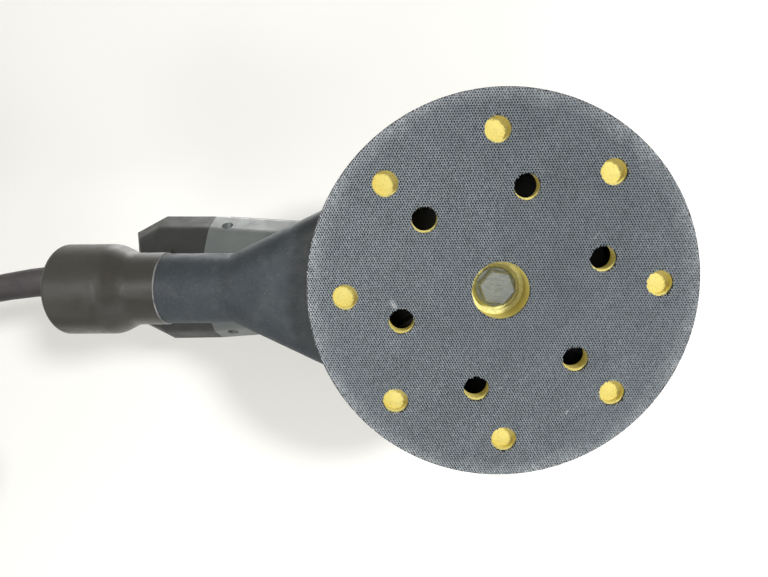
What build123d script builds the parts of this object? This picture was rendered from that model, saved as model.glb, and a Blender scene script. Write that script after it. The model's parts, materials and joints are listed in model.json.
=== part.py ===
from build123d import *
import math
import os

# A random-orbit sander in its working pose: pad down on z = 0, handle towards -X.
# The origin is on the motor axis at the pad's working face. All sizes are in millimetres.

# Pad
pad_diameter = 150.0
hook_thickness = 1.5
foam_thickness = 10.0
foam_top_inset = 1.5
plate_inset = 2.0
plate_thickness = 4.0
plate_boss_diameter = 44.0
plate_boss_height = 3.5
outer_hole_circle = 120.0
outer_hole_count = 8
outer_hole_turn = -2.2
inner_hole_circle = 80.0
inner_hole_count = 6
inner_hole_turn = 12.8
dust_hole_diameter = 10.0
centre_hole_diameter = 22.3
outer_pocket_z = 3.7
dust_chamber_z = 6.3
dust_chamber_diameter = 20.0
cushion_hole_shift = -0.9
orbit_offset = 2.5

# Pad bolt and stub
bolt_diameter = 8.0
bolt_length = 20.0
bolt_hex = 13.0
bolt_hex_height = 4.0
bolt_hex_turn = 10.0
bolt_flange_diameter = 16.3
bolt_flange_height = 1.6
bolt_seat_diameter = 19.0
bolt_seat_depth = 1.5
stub_flange_diameter = 30.0
stub_flange_height = 2.0
stub_shoulder_diameter = 20.0
stub_shoulder_height = 4.0
stub_tip_height = 2.4
stub_bolt_room = 1.0

# Bearings: bore, outside diameter, width, ball diameter and ball count
pad_bearing = dict(bore=15.0, outside=35.0, width=11.0, ball=6.0, balls=8)
lower_bearing = dict(bore=12.0, outside=32.0, width=10.0, ball=6.0, balls=7)
upper_bearing = dict(bore=8.0, outside=22.0, width=7.0, ball=4.0, balls=7)
race_depth = 0.55
clip_thickness = 1.2
clip_groove_depth = 1.0
clip_width = 3.0
clip_opening = 50.0

# Fits
press_gap = 0.02
running_gap = 0.06
ball_gap = 0.15
slide_gap = 0.3
screw_gap = 0.15

# Eccentric hub and dust fan
hub_cup_diameter = 48.0
hub_cup_skirt = 2.2
hub_stub_room = 1.6
hub_web_thickness = 4.0
hub_neck_diameter = 26.0
hub_neck_height = 5.5
hub_shaft_floor = 1.0
hub_bearing_gap = 1.0
hub_ledge = 5.0
weight_radius = 42.0
weight_height = 5.0
weight_rise = 2.0
weight_arc = 150.0
fan_radius = 54.0
fan_disc_thickness = 2.5
fan_disc_below_bearing = 2.5
fan_blade_height = 11.0
fan_blade_thickness = 2.0
fan_blade_count = 9
fan_blade_gap = 6.0
fan_blade_lean = 12.0
fan_rim = 0.5

# Dust shroud, flared duct and tube
shroud_radius = 61.0
shroud_wall = 3.0
shroud_rim_gap = 2.0
shroud_top_gap = 2.5
shroud_top_wall = 3.0
shroud_eye_inset = 4.0
bearing_boss_wall = 4.0
bearing_boss_lip = 1.5
bearing_eye_gap = 1.0
skirt_clearance = 0.4
flare_start_x = -28.0
flare_start_half_width = 54.4
flare_start_corner = 2.6
flare_end_x = -113.0
tube_diameter = 31.8
tube_wall = 2.5
tube_end_x = -143.4

# Hose adapter
adapter_neck_diameter = 32.8
adapter_neck_length = 14.3
adapter_shoulder_length = 8.0
adapter_cuff_length = 24.0
adapter_cuff_diameter = 41.0
adapter_socket_diameter = 35.8
adapter_socket_depth = 24.0
adapter_spigot_length = 18.0
adapter_spigot_wall = 2.0
adapter_shoulder_round = 10.0
adapter_end_round = 1.8
adapter_front_chamfer = 0.4
adapter_face_gap = 0.2

# Motor barrel
plate_rim_thickness = 3.0
barrel_radius = 43.0
barrel_wall = 3.5
barrel_foot_width = 3.5
barrel_foot_height = 6.0
barrel_foot_slope = 2.0
grip_step = 3.0
grip_step_drop = 14.0
barrel_top_z = 148.0
barrel_roof = 3.0
grip_thickness_on_top = 10.0
grip_dome_round = 16.0
vent_width = 3.2
vent_height = 9.0
vent_bottom_z = 64.0
vent_angles = (20.0, 34.0, 48.0, 62.0, 76.0)

# Motor
shaft_diameter = 12.0
shaft_tip_diameter = 8.0
armature_slots = 12
armature_slot_width = 3.0
armature_slot_depth = 7.0
armature_bottom_z = 77.0
winding_overhang = 6.0
winding_inset = 2.8
stator_clearance = 3.0
field_window = 7.0
stator_ring = 7.0
stator_air_gap = 0.7
stator_pole_arc = 100.0
coil_gap = 0.4
coil_overhang = 5.0
commutator_diameter = 26.0
commutator_length = 12.0
commutator_gap = 2.0
commutator_bearing_gap = 3.0
commutator_bars = 24
bar_slot_width = 0.6
bar_slot_depth = 0.8
cooling_fan_clearance = 5.5
cooling_fan_height = 6.0
cooling_fan_gap = 1.5
cooling_fan_blades = 11
cooling_fan_blade_thickness = 1.8
cooling_fan_rim = 0.5
cooling_fan_hub_wall = 4.0
brush_width = 6.0
brush_height = 9.0
brush_spring_length = 8.6
brush_holder_wall = 1.8
brush_cap_diameter = 12.0
brush_cap_proud = 0.8
brush_cap_slot = 1.6
brush_cap_slot_depth = 1.2
brush_holder_gap = 1.5
spring_side_gap = 0.3
spring_wire = 0.8
upper_bearing_drop = 12.0
upper_boss_radius = 15.0
upper_boss_drop = 1.5
stator_rib_width = 4.0
stator_rib_angles = (30.0, 65.0, 115.0)
stator_ledge = 3.0
stator_ledge_width = 2.3
wall_bite = 0.2
shaft_step_gap = 1.0
shaft_tip_extra = 2.0

# Handle: sections along X, each with its half width, floor and crown heights
handle_wall = 3.0
handle_root_x = -20.0
handle_root = (handle_root_x, math.sqrt(barrel_radius ** 2 - handle_root_x ** 2), 52.0, 116.0)
handle_neck = (-50.0, 33.0, 55.0, 101.0)
handle_waist = (-92.0, 30.0, 55.0, 101.0)
handle_seam = (-136.0, 33.1, 55.0, 101.0)
cap_shoulder = (-162.5, 33.4, 55.0, 101.0)
cap_end = (-181.3, 24.4, 57.0, 99.0)
floor_half_width = 13.5
knee_inset = 6.5
knee_rise = 9.0
flank_rise = 21.0
flank_drop = 17.0
shoulder_inset = 7.0
shoulder_drop = 5.0
crown_half_width = 12.0
section_round = 3.5
floor_round = 11.0
grip_thickness = 1.8
grip_front_x = -84.0
grip_rear_x = -132.0
grip_low_z = 87.0
heel_top_z = 80.0
heel_slope = 0.56
lip_length = 3.0
lip_thickness = 2.0
lip_gap = 0.15
cap_slot_front_x = -141.0
cap_slot_rear_x = -152.5
cap_slot_near_y = 9.0
cap_slot_far_y = 18.0
cap_slot_top_z = 57.4

# Screws
screw_diameter = 3.2
screw_head_diameter = 5.0
screw_head_height = 2.6
screw_boss_diameter = 8.4
screw_recess_diameter = 5.6
screw_drive_width = 0.9
screw_blind_y = 14.0
screw_tip_gap = 1.0
top_screw_inset = 9.5
top_screw_drop = 9.0
top_screw_seat = 17.0
handle_screw_places = ((-127.5, 68.0, 23.6), (-70.0, 64.0, 18.4))
shroud_screw_inset = 5.5
shroud_boss_extra = 3.6
shroud_screw_head = 2.0
shroud_screw_length = 17.0
shroud_screw_angles = (40.0, 140.0, 220.0, 320.0)

# Switch slider
slider_x = -66.0
slider_length = 20.0
slider_width = 13.0
slider_height = 3.2
slider_stem_length = 9.0
slider_stem_width = 7.0
slider_travel = 6.0
slider_link_height = 3.0
slider_link_z = 88.0
slider_ridges = 4
slider_ridge_pitch = 3.2
slider_ridge_width = 1.4
slider_ridge_height = 0.8
slider_ridge_root = 0.5
slider_round = 1.2
slider_finger_drop = 6.0
slider_finger_thickness = 2.0
switch_front_x = -93.0
switch_size = (26.0, 17.0, 24.0)
switch_floor_z = 62.0
switch_rib_inset = 4.0
switch_rib_thickness = 3.0
switch_chamfer = 1.0

# Speed dial and board
dial_shoulder_gap = 6.5
dial_x = cap_shoulder[0] + dial_shoulder_gap
dial_z = 94.0
dial_radius = 10.5
dial_width = 6.0
dial_pin_diameter = 4.0
dial_pin_length = 16.0
dial_notches = 20
dial_notch_diameter = 1.6
dial_notch_rise = 0.3
board_z = 87.5
board_size = (24.0, 34.0, 1.6)
dial_ear_size = (8.0, 3.0, 8.4)
dial_ear_gap = 1.0
board_ledge = 2.5
board_ledge_inset = 2.0

# Cord
cord_diameter = 7.2
cord_axis_z = 78.0
tail_length = 46.0
tail_front_x = cap_end[0] + tail_length
clamp_end_gap = 38.0
clamp_x = cap_end[0] + clamp_end_gap
clamp_size = (10.0, 4.0, 18.0)
clamp_screw_spread = 12.4
clamp_screw_head = 5.0
clamp_screw_length = 14.0
clamp_screw_diameter = 3.0
clamp_gap = 0.1
guard_collar_diameter = 21.4
guard_collar_length = 2.4
guard_root_diameter = 19.0
guard_tip_diameter = 14.0
guard_path = ((-181.3, 0.0, 78.0), (-210.0, 0.3, 77.6), (-238.0, 1.8, 76.0), (-264.0, 6.0, 72.6))
cord_route = (
    (-264.0, 6.0, 72.6),
    (-279.0, 9.3, 69.7),
    (-293.0, 12.9, 62.0),
    (-305.2, 17.2, 50.2),
    (-316.6, 22.0, 36.2),
    (-327.4, 27.3, 22.6),
    (-337.0, 35.8, 12.4),
    (-343.6, 48.9, 6.6),
    (-346.2, 65.2, 5.2),
    (-346.2, 79.0, 5.2),
)
coil_turns = 4
coil_layers = 2
coil_inner_radius = 29.0
coil_pitch = 8.7
coil_steps = 4
coil_tail_length = 21.0
tie_width = 14.0
tie_thickness = 1.3
tie_gap = 0.25
plug_sleeve_diameter = 11.0
plug_sleeve_length = 16.0
plug_body_length = 30.0
plug_face_width = 36.0
plug_face_height = 27.4
plug_rim_length = 13.0
plug_pin_diameter = 4.8
plug_pin_length = 19.0
plug_pin_spread = 19.0

# Heights worked out from the stack of parts above the floor
foam_z = hook_thickness
plate_z = foam_z + foam_thickness
plate_top_z = plate_z + plate_thickness
boss_top_z = plate_top_z + plate_boss_height
bolt_seat_z = plate_z + bolt_seat_depth
stub_shoulder_z = boss_top_z + stub_flange_height
pad_bearing_z = stub_shoulder_z + stub_shoulder_height
pad_bearing_top_z = pad_bearing_z + pad_bearing["width"]
stub_top_z = pad_bearing_top_z + stub_tip_height
hub_floor_z = stub_top_z + hub_stub_room
hub_web_z = hub_floor_z + hub_web_thickness
hub_top_z = hub_web_z + hub_neck_height
weight_top_z = pad_bearing_top_z + weight_rise + weight_height
shroud_rim_z = plate_top_z + shroud_rim_gap
shroud_ceiling_z = weight_top_z + shroud_top_gap
shroud_top_z = shroud_ceiling_z + shroud_top_wall
plate_rim_z = shroud_top_z + plate_rim_thickness
lower_bearing_z = hub_top_z + hub_bearing_gap
lower_bearing_top_z = lower_bearing_z + lower_bearing["width"]
tube_z = shroud_rim_z + tube_diameter / 2
grip_step_z = barrel_top_z - grip_step_drop
grip_top_z = barrel_top_z + grip_thickness_on_top
upper_bearing_z = barrel_top_z - upper_bearing_drop
commutator_z = upper_bearing_z - commutator_bearing_gap - commutator_length
brush_z = commutator_z + commutator_length / 2
armature_top_z = commutator_z - commutator_gap - winding_overhang
armature_length = armature_top_z - armature_bottom_z

# Radii worked out from the motor barrel inwards
barrel_bore = barrel_radius - barrel_wall
barrel_neck = barrel_radius - grip_step
barrel_foot_radius = barrel_radius + barrel_foot_width
stator_diameter = 2 * (barrel_bore - stator_clearance)
stator_ledge_radius = stator_diameter / 2 - stator_ledge_width
armature_diameter = stator_diameter - 2 * (stator_ring + field_window + stator_air_gap)
winding_diameter = armature_diameter - 2 * winding_inset
cooling_fan_radius = barrel_bore - cooling_fan_clearance
shroud_screw_circle = 2 * (barrel_bore - shroud_screw_inset)
shroud_eye_radius = shroud_screw_circle / 2 - shroud_eye_inset
top_screw_x = barrel_neck - top_screw_inset
top_screw_z = barrel_top_z - top_screw_drop
top_screw_places = ((top_screw_x, top_screw_z, top_screw_seat), (-top_screw_x, top_screw_z, top_screw_seat))
housing_screw_places = handle_screw_places + top_screw_places

pad_centre = (0.0, -orbit_offset, 0.0)
eccentric = Pos(*pad_centre)
heel_run = heel_slope * (heel_top_z - cord_axis_z + guard_collar_diameter / 2)
collar_x = cap_end[0] + handle_wall * math.hypot(1, heel_slope) + heel_run

parts = {}


def disc(diameter, bottom, height):
    """A solid cylinder on the Z axis that stands on the given height."""
    return Pos(0, 0, bottom + height / 2) * Cylinder(diameter / 2, height)


def ring(inner_diameter, outer_diameter, bottom, height):
    return disc(outer_diameter, bottom, height) - disc(inner_diameter, bottom, height)


def block(low, high):
    """A box between two opposite corners."""
    size = [high[i] - low[i] for i in range(3)]
    middle = [(high[i] + low[i]) / 2 for i in range(3)]
    return Pos(*middle) * Box(*size)


def around(count, radius, turn=0.0):
    """Places on a circle, counted from the -Y side towards +X."""
    places = []
    for index in range(count):
        angle = math.radians(turn + 360.0 * index / count)
        places.append((radius * math.sin(angle), -radius * math.cos(angle)))
    return places


def rod_x(diameter, start, end, y, z):
    return Pos((start + end) / 2, y, z) * Rot(0, 90, 0) * Cylinder(diameter / 2, abs(end - start))


def rod_y(diameter, start, end, x, z):
    return Pos(x, (start + end) / 2, z) * Rot(90, 0, 0) * Cylinder(diameter / 2, abs(end - start))


def sector(inner_radius, outer_radius, bottom, height, middle_angle, arc):
    """Part of a ring, centred on an angle that is counted from +X."""
    half = math.radians(arc / 2)
    inner_tip = (inner_radius * math.cos(half), inner_radius * math.sin(half))
    outer_tip = (outer_radius * math.cos(half), outer_radius * math.sin(half))
    outline = Polyline((inner_tip[0], -inner_tip[1]), (outer_tip[0], -outer_tip[1]))
    outline += ThreePointArc((outer_tip[0], -outer_tip[1]), (outer_radius, 0), outer_tip)
    outline += Line(outer_tip, inner_tip)
    outline += ThreePointArc(inner_tip, (inner_radius, 0), (inner_tip[0], -inner_tip[1]))
    face = make_face(outline)
    return Rot(0, 0, middle_angle) * Pos(0, 0, bottom) * extrude(face, height)


def hole_row(count, circle, turn, diameter, bottom, height):
    """Cutters for a circle of holes about the pad's own axis."""
    cutters = Part()
    for x, y in around(count, circle / 2, turn):
        cutters += Pos(x, y, 0) * disc(diameter, bottom, height)
    return cutters


def outer_holes(bottom, height):
    spec = (outer_hole_count, outer_hole_circle, outer_hole_turn, dust_hole_diameter)
    return hole_row(*spec, bottom, height)


def inner_holes(bottom, height, diameter=dust_hole_diameter):
    spec = (inner_hole_count, inner_hole_circle, inner_hole_turn, diameter)
    return hole_row(*spec, bottom, height)


def pad_hooks():
    face = disc(pad_diameter, 0, hook_thickness)
    face -= disc(centre_hole_diameter, 0, hook_thickness)
    face -= outer_holes(0, hook_thickness)
    face -= inner_holes(0, hook_thickness)
    return eccentric * face


def pad_foam():
    """The cushion: blind outer pockets, and inner holes that widen into dust chambers behind."""
    top_radius = pad_diameter / 2 - foam_top_inset
    foam = Pos(0, 0, foam_z + foam_thickness / 2) * Cone(pad_diameter / 2, top_radius, foam_thickness)
    foam -= disc(centre_hole_diameter, foam_z, foam_thickness)
    foam -= Pos(0, cushion_hole_shift, 0) * outer_holes(foam_z, outer_pocket_z - foam_z)
    foam -= Pos(0, cushion_hole_shift, 0) * inner_holes(foam_z, foam_thickness)
    foam -= inner_holes(dust_chamber_z, plate_z - dust_chamber_z, dust_chamber_diameter)
    return eccentric * foam


def pad_plate():
    plate = disc(pad_diameter - 2 * plate_inset, plate_z, plate_thickness)
    plate += disc(plate_boss_diameter, plate_top_z, plate_boss_height)
    plate -= inner_holes(plate_z, plate_thickness, dust_chamber_diameter)
    plate -= disc(bolt_diameter + 2 * screw_gap, plate_z, plate_thickness + plate_boss_height)
    plate -= disc(bolt_seat_diameter, plate_z, bolt_seat_depth)
    return eccentric * plate


def pad_bolt():
    hex_z = bolt_seat_z - bolt_flange_height - bolt_hex_height
    hexagon = Rot(0, 0, bolt_hex_turn) * RegularPolygon(bolt_hex / math.sqrt(3), 6)
    head = Pos(0, 0, hex_z) * extrude(hexagon, bolt_hex_height)
    head = chamfer(head.faces().sort_by(Axis.Z)[0].edges(), bolt_hex / 20)
    flange = disc(bolt_flange_diameter, bolt_seat_z - bolt_flange_height, bolt_flange_height)
    flange = fillet(flange.edges().sort_by(Axis.Z)[0], bolt_flange_height / 3)
    bolt = head + flange + disc(bolt_diameter, bolt_seat_z, bolt_length)
    return eccentric * bolt


def pad_stub():
    stub = disc(stub_flange_diameter, boss_top_z, stub_flange_height)
    stub += disc(stub_shoulder_diameter, stub_shoulder_z, stub_shoulder_height)
    journal = pad_bearing["bore"] - 2 * press_gap
    stub += disc(journal, pad_bearing_z, stub_top_z - pad_bearing_z)
    groove = journal - 2 * clip_groove_depth
    stub -= ring(groove, journal + 1, pad_bearing_top_z, clip_thickness)
    bolt_room = bolt_length - (boss_top_z - bolt_seat_z) + stub_bolt_room
    stub -= disc(bolt_diameter + 2 * press_gap, boss_top_z, bolt_room)
    return eccentric * stub


def clip(inner_diameter, outer_diameter, bottom):
    """An open retaining ring."""
    opening = sector(inner_diameter / 4, outer_diameter, bottom, clip_thickness, 0, clip_opening)
    return ring(inner_diameter, outer_diameter, bottom, clip_thickness) - opening


def stub_clip():
    seat = pad_bearing["bore"] - 2 * clip_groove_depth
    return eccentric * clip(seat, seat + 2 * clip_width, pad_bearing_top_z)


def cup_clip():
    seat = pad_bearing["outside"] + 2 * clip_groove_depth
    return eccentric * clip(seat - 2 * clip_width, seat, pad_bearing_z - clip_thickness)


def race(spec, bottom):
    """The groove that the balls run in."""
    circle = (spec["bore"] + spec["outside"]) / 4
    return Pos(0, 0, bottom + spec["width"] / 2) * Torus(circle, spec["ball"] / 2 + ball_gap)


def inner_ring(spec, bottom):
    circle = (spec["bore"] + spec["outside"]) / 2
    shoulder = circle - spec["ball"] + 2 * race_depth
    return ring(spec["bore"], shoulder, bottom, spec["width"]) - race(spec, bottom)


def outer_ring(spec, bottom):
    circle = (spec["bore"] + spec["outside"]) / 2
    shoulder = circle + spec["ball"] - 2 * race_depth
    return ring(shoulder, spec["outside"], bottom, spec["width"]) - race(spec, bottom)


def ball_set(spec, bottom):
    circle = (spec["bore"] + spec["outside"]) / 4
    balls = []
    for x, y in around(spec["balls"], circle):
        balls.append(Pos(x, y, bottom + spec["width"] / 2) * Sphere(spec["ball"] / 2))
    return balls


def eccentric_hub():
    """The cup that carries the pad's bearing off centre, with its counterweight on the other side."""
    cup_z = pad_bearing_z - hub_cup_skirt
    hub = disc(hub_cup_diameter, cup_z, hub_web_z - cup_z)
    hub += disc(hub_neck_diameter, hub_web_z, hub_neck_height)
    weight_z = weight_top_z - weight_height
    weight_inner = hub_cup_diameter / 2 - orbit_offset
    hub += sector(weight_inner, weight_radius, weight_z, weight_height, 90, weight_arc)
    seat = pad_bearing["outside"] + 2 * press_gap
    hub -= eccentric * disc(seat, cup_z, pad_bearing_top_z - cup_z)
    groove = pad_bearing["outside"] + 2 * clip_groove_depth + 2 * press_gap
    hub -= eccentric * disc(groove, pad_bearing_z - clip_thickness, clip_thickness)
    room = pad_bearing["outside"] - 2 * hub_ledge
    hub -= eccentric * disc(room, pad_bearing_top_z, hub_floor_z - pad_bearing_top_z)
    bore_z = hub_floor_z + hub_shaft_floor
    hub -= disc(shaft_diameter + 2 * press_gap, bore_z, hub_top_z - bore_z)
    return hub


def dust_fan():
    disc_z = pad_bearing_top_z - fan_disc_below_bearing
    inner = hub_cup_diameter + 2 * press_gap
    fan = ring(inner, 2 * fan_radius, disc_z, fan_disc_thickness)
    blade_start = inner / 2 + fan_blade_gap
    for index in range(fan_blade_count):
        low = (blade_start, -fan_blade_thickness / 2, disc_z - fan_blade_height)
        high = (fan_radius - fan_rim, fan_blade_thickness / 2, disc_z)
        lean = Rot(0, 0, -fan_blade_lean) * Pos(-blade_start, 0, 0)
        blade = Pos(blade_start, 0, 0) * lean * block(low, high)
        fan += Rot(0, 0, 360.0 * index / fan_blade_count) * blade
    return fan


def motor_shaft():
    bottom = hub_floor_z + hub_shaft_floor
    step_z = upper_bearing_z - shaft_step_gap
    shaft = disc(shaft_diameter, bottom, step_z - bottom)
    tip_length = upper_bearing["width"] + shaft_tip_extra
    return shaft + disc(shaft_tip_diameter, step_z, tip_length)


def armature_core():
    core = ring(shaft_diameter + 2 * press_gap, armature_diameter, armature_bottom_z, armature_length)
    slot_start = armature_diameter / 2 - armature_slot_depth
    for index in range(armature_slots):
        low = (slot_start, -armature_slot_width / 2, armature_bottom_z)
        high = (armature_diameter, armature_slot_width / 2, armature_top_z)
        core -= Rot(0, 0, 360.0 * index / armature_slots) * block(low, high)
    return core


def armature_winding():
    """The wound ends that stand out of the core at both sides."""
    bore = shaft_diameter + 2 * press_gap
    ends = []
    for bottom in (armature_bottom_z - winding_overhang, armature_top_z):
        end = ring(bore, winding_diameter, bottom, winding_overhang)
        rim = end.edges().filter_by(GeomType.CIRCLE).group_by(SortBy.RADIUS)[-1]
        ends.append(fillet(rim, winding_overhang / 3))
    return ends


def commutator():
    bars = ring(shaft_diameter + 2 * press_gap, commutator_diameter, commutator_z, commutator_length)
    for index in range(commutator_bars):
        low = (commutator_diameter / 2 - bar_slot_depth, -bar_slot_width / 2, commutator_z)
        high = (commutator_diameter, bar_slot_width / 2, commutator_z + commutator_length)
        bars -= Rot(0, 0, 360.0 * index / commutator_bars) * block(low, high)
    return bars


def cooling_fan():
    bottom = armature_bottom_z - winding_overhang - cooling_fan_gap - cooling_fan_height
    bore = shaft_diameter + 2 * press_gap
    fan = ring(bore, 2 * cooling_fan_radius, bottom, cooling_fan_height / 4)
    fan += ring(bore, shaft_diameter + 2 * cooling_fan_hub_wall, bottom, cooling_fan_height)
    for index in range(cooling_fan_blades):
        half = cooling_fan_blade_thickness / 2
        low = (cooling_fan_radius / 2, -half, bottom)
        high = (cooling_fan_radius - cooling_fan_rim, half, bottom + cooling_fan_height)
        fan += Rot(0, 0, 360.0 * index / cooling_fan_blades) * block(low, high)
    return fan


def stator_core():
    pole_face = armature_diameter / 2 + stator_air_gap
    ring_inner = stator_diameter / 2 - stator_ring
    core = ring(2 * ring_inner, stator_diameter, armature_bottom_z, armature_length)
    for angle in (90, -90):
        reach = ring_inner + wall_bite
        core += sector(pole_face, reach, armature_bottom_z, armature_length, angle, stator_pole_arc)
    return core


def field_coils():
    """Two wound blocks in the windows between the poles."""
    inner = armature_diameter / 2 + stator_air_gap + coil_gap
    outer = stator_diameter / 2 - stator_ring - coil_gap
    arc = 180.0 - stator_pole_arc - 2 * math.degrees(2 * coil_gap / inner)
    bottom = armature_bottom_z - coil_overhang
    height = armature_length + 2 * coil_overhang
    return [sector(inner, outer, bottom, height, angle, arc) for angle in (0, 180)]


def revolved(points, axis=Axis.Z):
    """A solid turned from an outline in the XZ plane."""
    outline = make_face(Plane.XZ * Polyline(*points, close=True))
    return revolve(outline, axis)


def handle_outline(section, inset):
    """A cross-section of the handle as a twelve-sided face with rounded corners."""
    x, half, low, high = section
    right = [
        (floor_half_width - inset / 2, low + inset),
        (half - knee_inset - inset, low + knee_rise + inset * 0.3),
        (half - inset, low + flank_rise),
        (half - inset, high - flank_drop),
        (half - shoulder_inset - inset, high - shoulder_drop - inset * 0.4),
        (crown_half_width - inset / 2, high - inset),
    ]
    left = [(-y, z) for y, z in reversed(right)]
    outline = Polygon(*right, *left, align=None)
    below = [v for v in outline.vertices() if v.Y < low + (knee_rise + flank_rise) / 2]
    outline = fillet(below, max(floor_round - inset, floor_round / 5))
    above = [v for v in outline.vertices() if v.Y > low + flank_rise - press_gap]
    outline = fillet(above, max(section_round - inset, section_round / 5))
    return Plane((x, 0, 0), x_dir=(0, 1, 0), z_dir=(1, 0, 0)) * outline


def handle_solid(inset):
    sections = (handle_root, handle_neck, handle_waist, handle_seam)
    return loft([handle_outline(section, inset) for section in sections], ruled=True)


def cap_solid(inset):
    sections = (handle_seam, cap_shoulder, cap_end)
    return loft([handle_outline(section, inset) for section in sections], ruled=True)


def cap_heel(inset):
    """What the slanted cut under the cap's rear end takes away."""
    reach = 2 * heel_top_z
    top = (cap_end[0] + inset * math.hypot(1, heel_slope), heel_top_z)
    bottom = (top[0] + heel_slope * heel_top_z, 0)
    outline = Polygon(top, bottom, (top[0] - reach, 0), (top[0] - reach, heel_top_z), align=None)
    return extrude(Plane.XZ * outline, reach, both=True)


def slab_x(start, end):
    """Everything between two X planes."""
    reach = 2 * grip_top_z
    return block((min(start, end), -reach, -reach), (max(start, end), reach, reach))


def housing_screw_cutters():
    """Head recesses, clearance holes and threaded holes, all across the handle."""
    reach = 2 * barrel_radius
    cutters = Part()
    for x, z, seat in housing_screw_places:
        cutters += rod_y(screw_recess_diameter, -reach, -seat, x, z)
        cutters += rod_y(screw_diameter + 2 * screw_gap, -seat, 0, x, z)
        cutters += rod_y(screw_diameter + 2 * press_gap, 0, screw_blind_y, x, z)
        cutters += rod_y(screw_recess_diameter, screw_blind_y, reach, x, z)
    return cutters


def shroud_screw_spots():
    spots = []
    for angle in shroud_screw_angles:
        turn = math.radians(angle)
        spots.append((shroud_screw_circle / 2 * math.cos(turn), shroud_screw_circle / 2 * math.sin(turn)))
    return spots


def housing_bosses(outer):
    """Everything that stands inside the housing to carry other pieces."""
    bosses = Part()
    for x, z, seat in housing_screw_places:
        bosses += rod_y(screw_boss_diameter, -barrel_radius, barrel_radius, x, z) & outer
    for x, y in shroud_screw_spots():
        height = shroud_screw_length - shroud_top_wall - plate_rim_thickness
        bosses += Pos(x, y, 0) * disc(screw_boss_diameter + shroud_boss_extra, plate_rim_z, height)
    ledge_z = armature_bottom_z - stator_ledge
    bosses += ring(2 * stator_ledge_radius, 2 * (barrel_bore + wall_bite), ledge_z, stator_ledge)
    for side in (1, -1):
        for angle in stator_rib_angles:
            low = (stator_diameter / 2 + press_gap, -stator_rib_width / 2, ledge_z)
            high = (barrel_bore + wall_bite, stator_rib_width / 2, armature_top_z)
            bosses += Rot(0, 0, side * angle) * block(low, high)
    boss_z = upper_bearing_z - upper_boss_drop
    bosses += disc(2 * upper_boss_radius, boss_z, barrel_top_z - barrel_roof - boss_z)
    switch_low = handle_seam[2] + handle_wall / 2
    switch_rear_x = switch_front_x - switch_size[0]
    half_rib = switch_rib_thickness / 2
    for x in (switch_front_x - switch_rib_inset, switch_rear_x + switch_rib_inset):
        low = (x - half_rib, -switch_size[1] / 2, switch_low)
        high = (x + half_rib, switch_size[1] / 2, switch_floor_z)
        bosses += block(low, high)
    return bosses


def housing_cutters():
    cutters = housing_screw_cutters()
    for x, y in shroud_screw_spots():
        cutters += Pos(x, y, 0) * disc(screw_diameter + 2 * press_gap, shroud_top_z, shroud_screw_length)
    bearing_room = upper_bearing["width"] + 2 * upper_boss_drop
    bearing_seat = upper_bearing["outside"] + 2 * press_gap
    cutters += disc(bearing_seat, upper_bearing_z - upper_boss_drop, bearing_room)
    hole = brush_cap_diameter + 2 * screw_gap
    cutters += rod_y(hole, -2 * barrel_radius, -commutator_diameter, 0, brush_z)
    cutters += rod_y(hole, commutator_diameter, 2 * barrel_radius, 0, brush_z)
    for side in (1, -1):
        for angle in vent_angles:
            low = (barrel_radius - 2 * barrel_wall, -vent_width / 2, vent_bottom_z)
            high = (barrel_radius + barrel_wall, vent_width / 2, vent_bottom_z + vent_height)
            cutters += Rot(0, 0, side * angle) * block(low, high)
    slot_front = slider_x + slider_stem_length / 2 + slider_travel + slide_gap
    slot_rear = slider_x - slider_stem_length / 2 - slide_gap
    slot_half = slider_stem_width / 2 + slide_gap
    crown = handle_neck[3]
    low = (slot_rear, -slot_half, crown - 2 * handle_wall)
    high = (slot_front, slot_half, crown + handle_wall)
    return cutters + block(low, high)


def housing_shell():
    """The motor barrel and the handle as one hollow shell, before it is split."""
    foot_z = shroud_top_z
    barrel = revolved([
        (0, foot_z),
        (barrel_foot_radius, foot_z),
        (barrel_foot_radius, foot_z + barrel_foot_height - barrel_foot_slope),
        (barrel_radius, foot_z + barrel_foot_height),
        (barrel_radius, grip_step_z),
        (barrel_neck, grip_step_z),
        (barrel_neck, barrel_top_z),
        (0, barrel_top_z),
    ])
    neck_bore = barrel_neck - barrel_roof
    cavity = revolved([
        (0, foot_z),
        (barrel_bore, foot_z),
        (barrel_bore, grip_step_z - barrel_wall),
        (neck_bore, grip_step_z),
        (neck_bore, barrel_top_z - barrel_roof),
        (0, barrel_top_z - barrel_roof),
    ])
    outer = barrel + handle_solid(0)
    shell = outer - cavity - handle_solid(handle_wall)
    return shell + housing_bosses(outer) - housing_cutters()


def half_of(shell, side):
    reach = 3 * grip_top_z
    low = (-reach, min(0, side * reach), -reach)
    high = (reach, max(0, side * reach), reach)
    return shell & block(low, high)


def top_grip():
    """The soft cap over the motor's top."""
    inner = barrel_neck + press_gap
    cap = revolved([
        (inner, grip_step_z),
        (barrel_radius, grip_step_z),
        (barrel_radius, grip_top_z),
        (0, grip_top_z),
        (0, barrel_top_z),
        (inner, barrel_top_z),
    ])
    rim = cap.edges().filter_by(GeomType.CIRCLE).group_by(Axis.Z)[-1]
    return fillet(rim, grip_dome_round)


def handle_grip():
    """The soft strip over the handle's back."""
    band = handle_solid(-grip_thickness) - handle_solid(0)
    reach = 2 * barrel_radius
    return band & block((grip_rear_x, -reach, grip_low_z), (grip_front_x, reach, 2 * grip_top_z))


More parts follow.
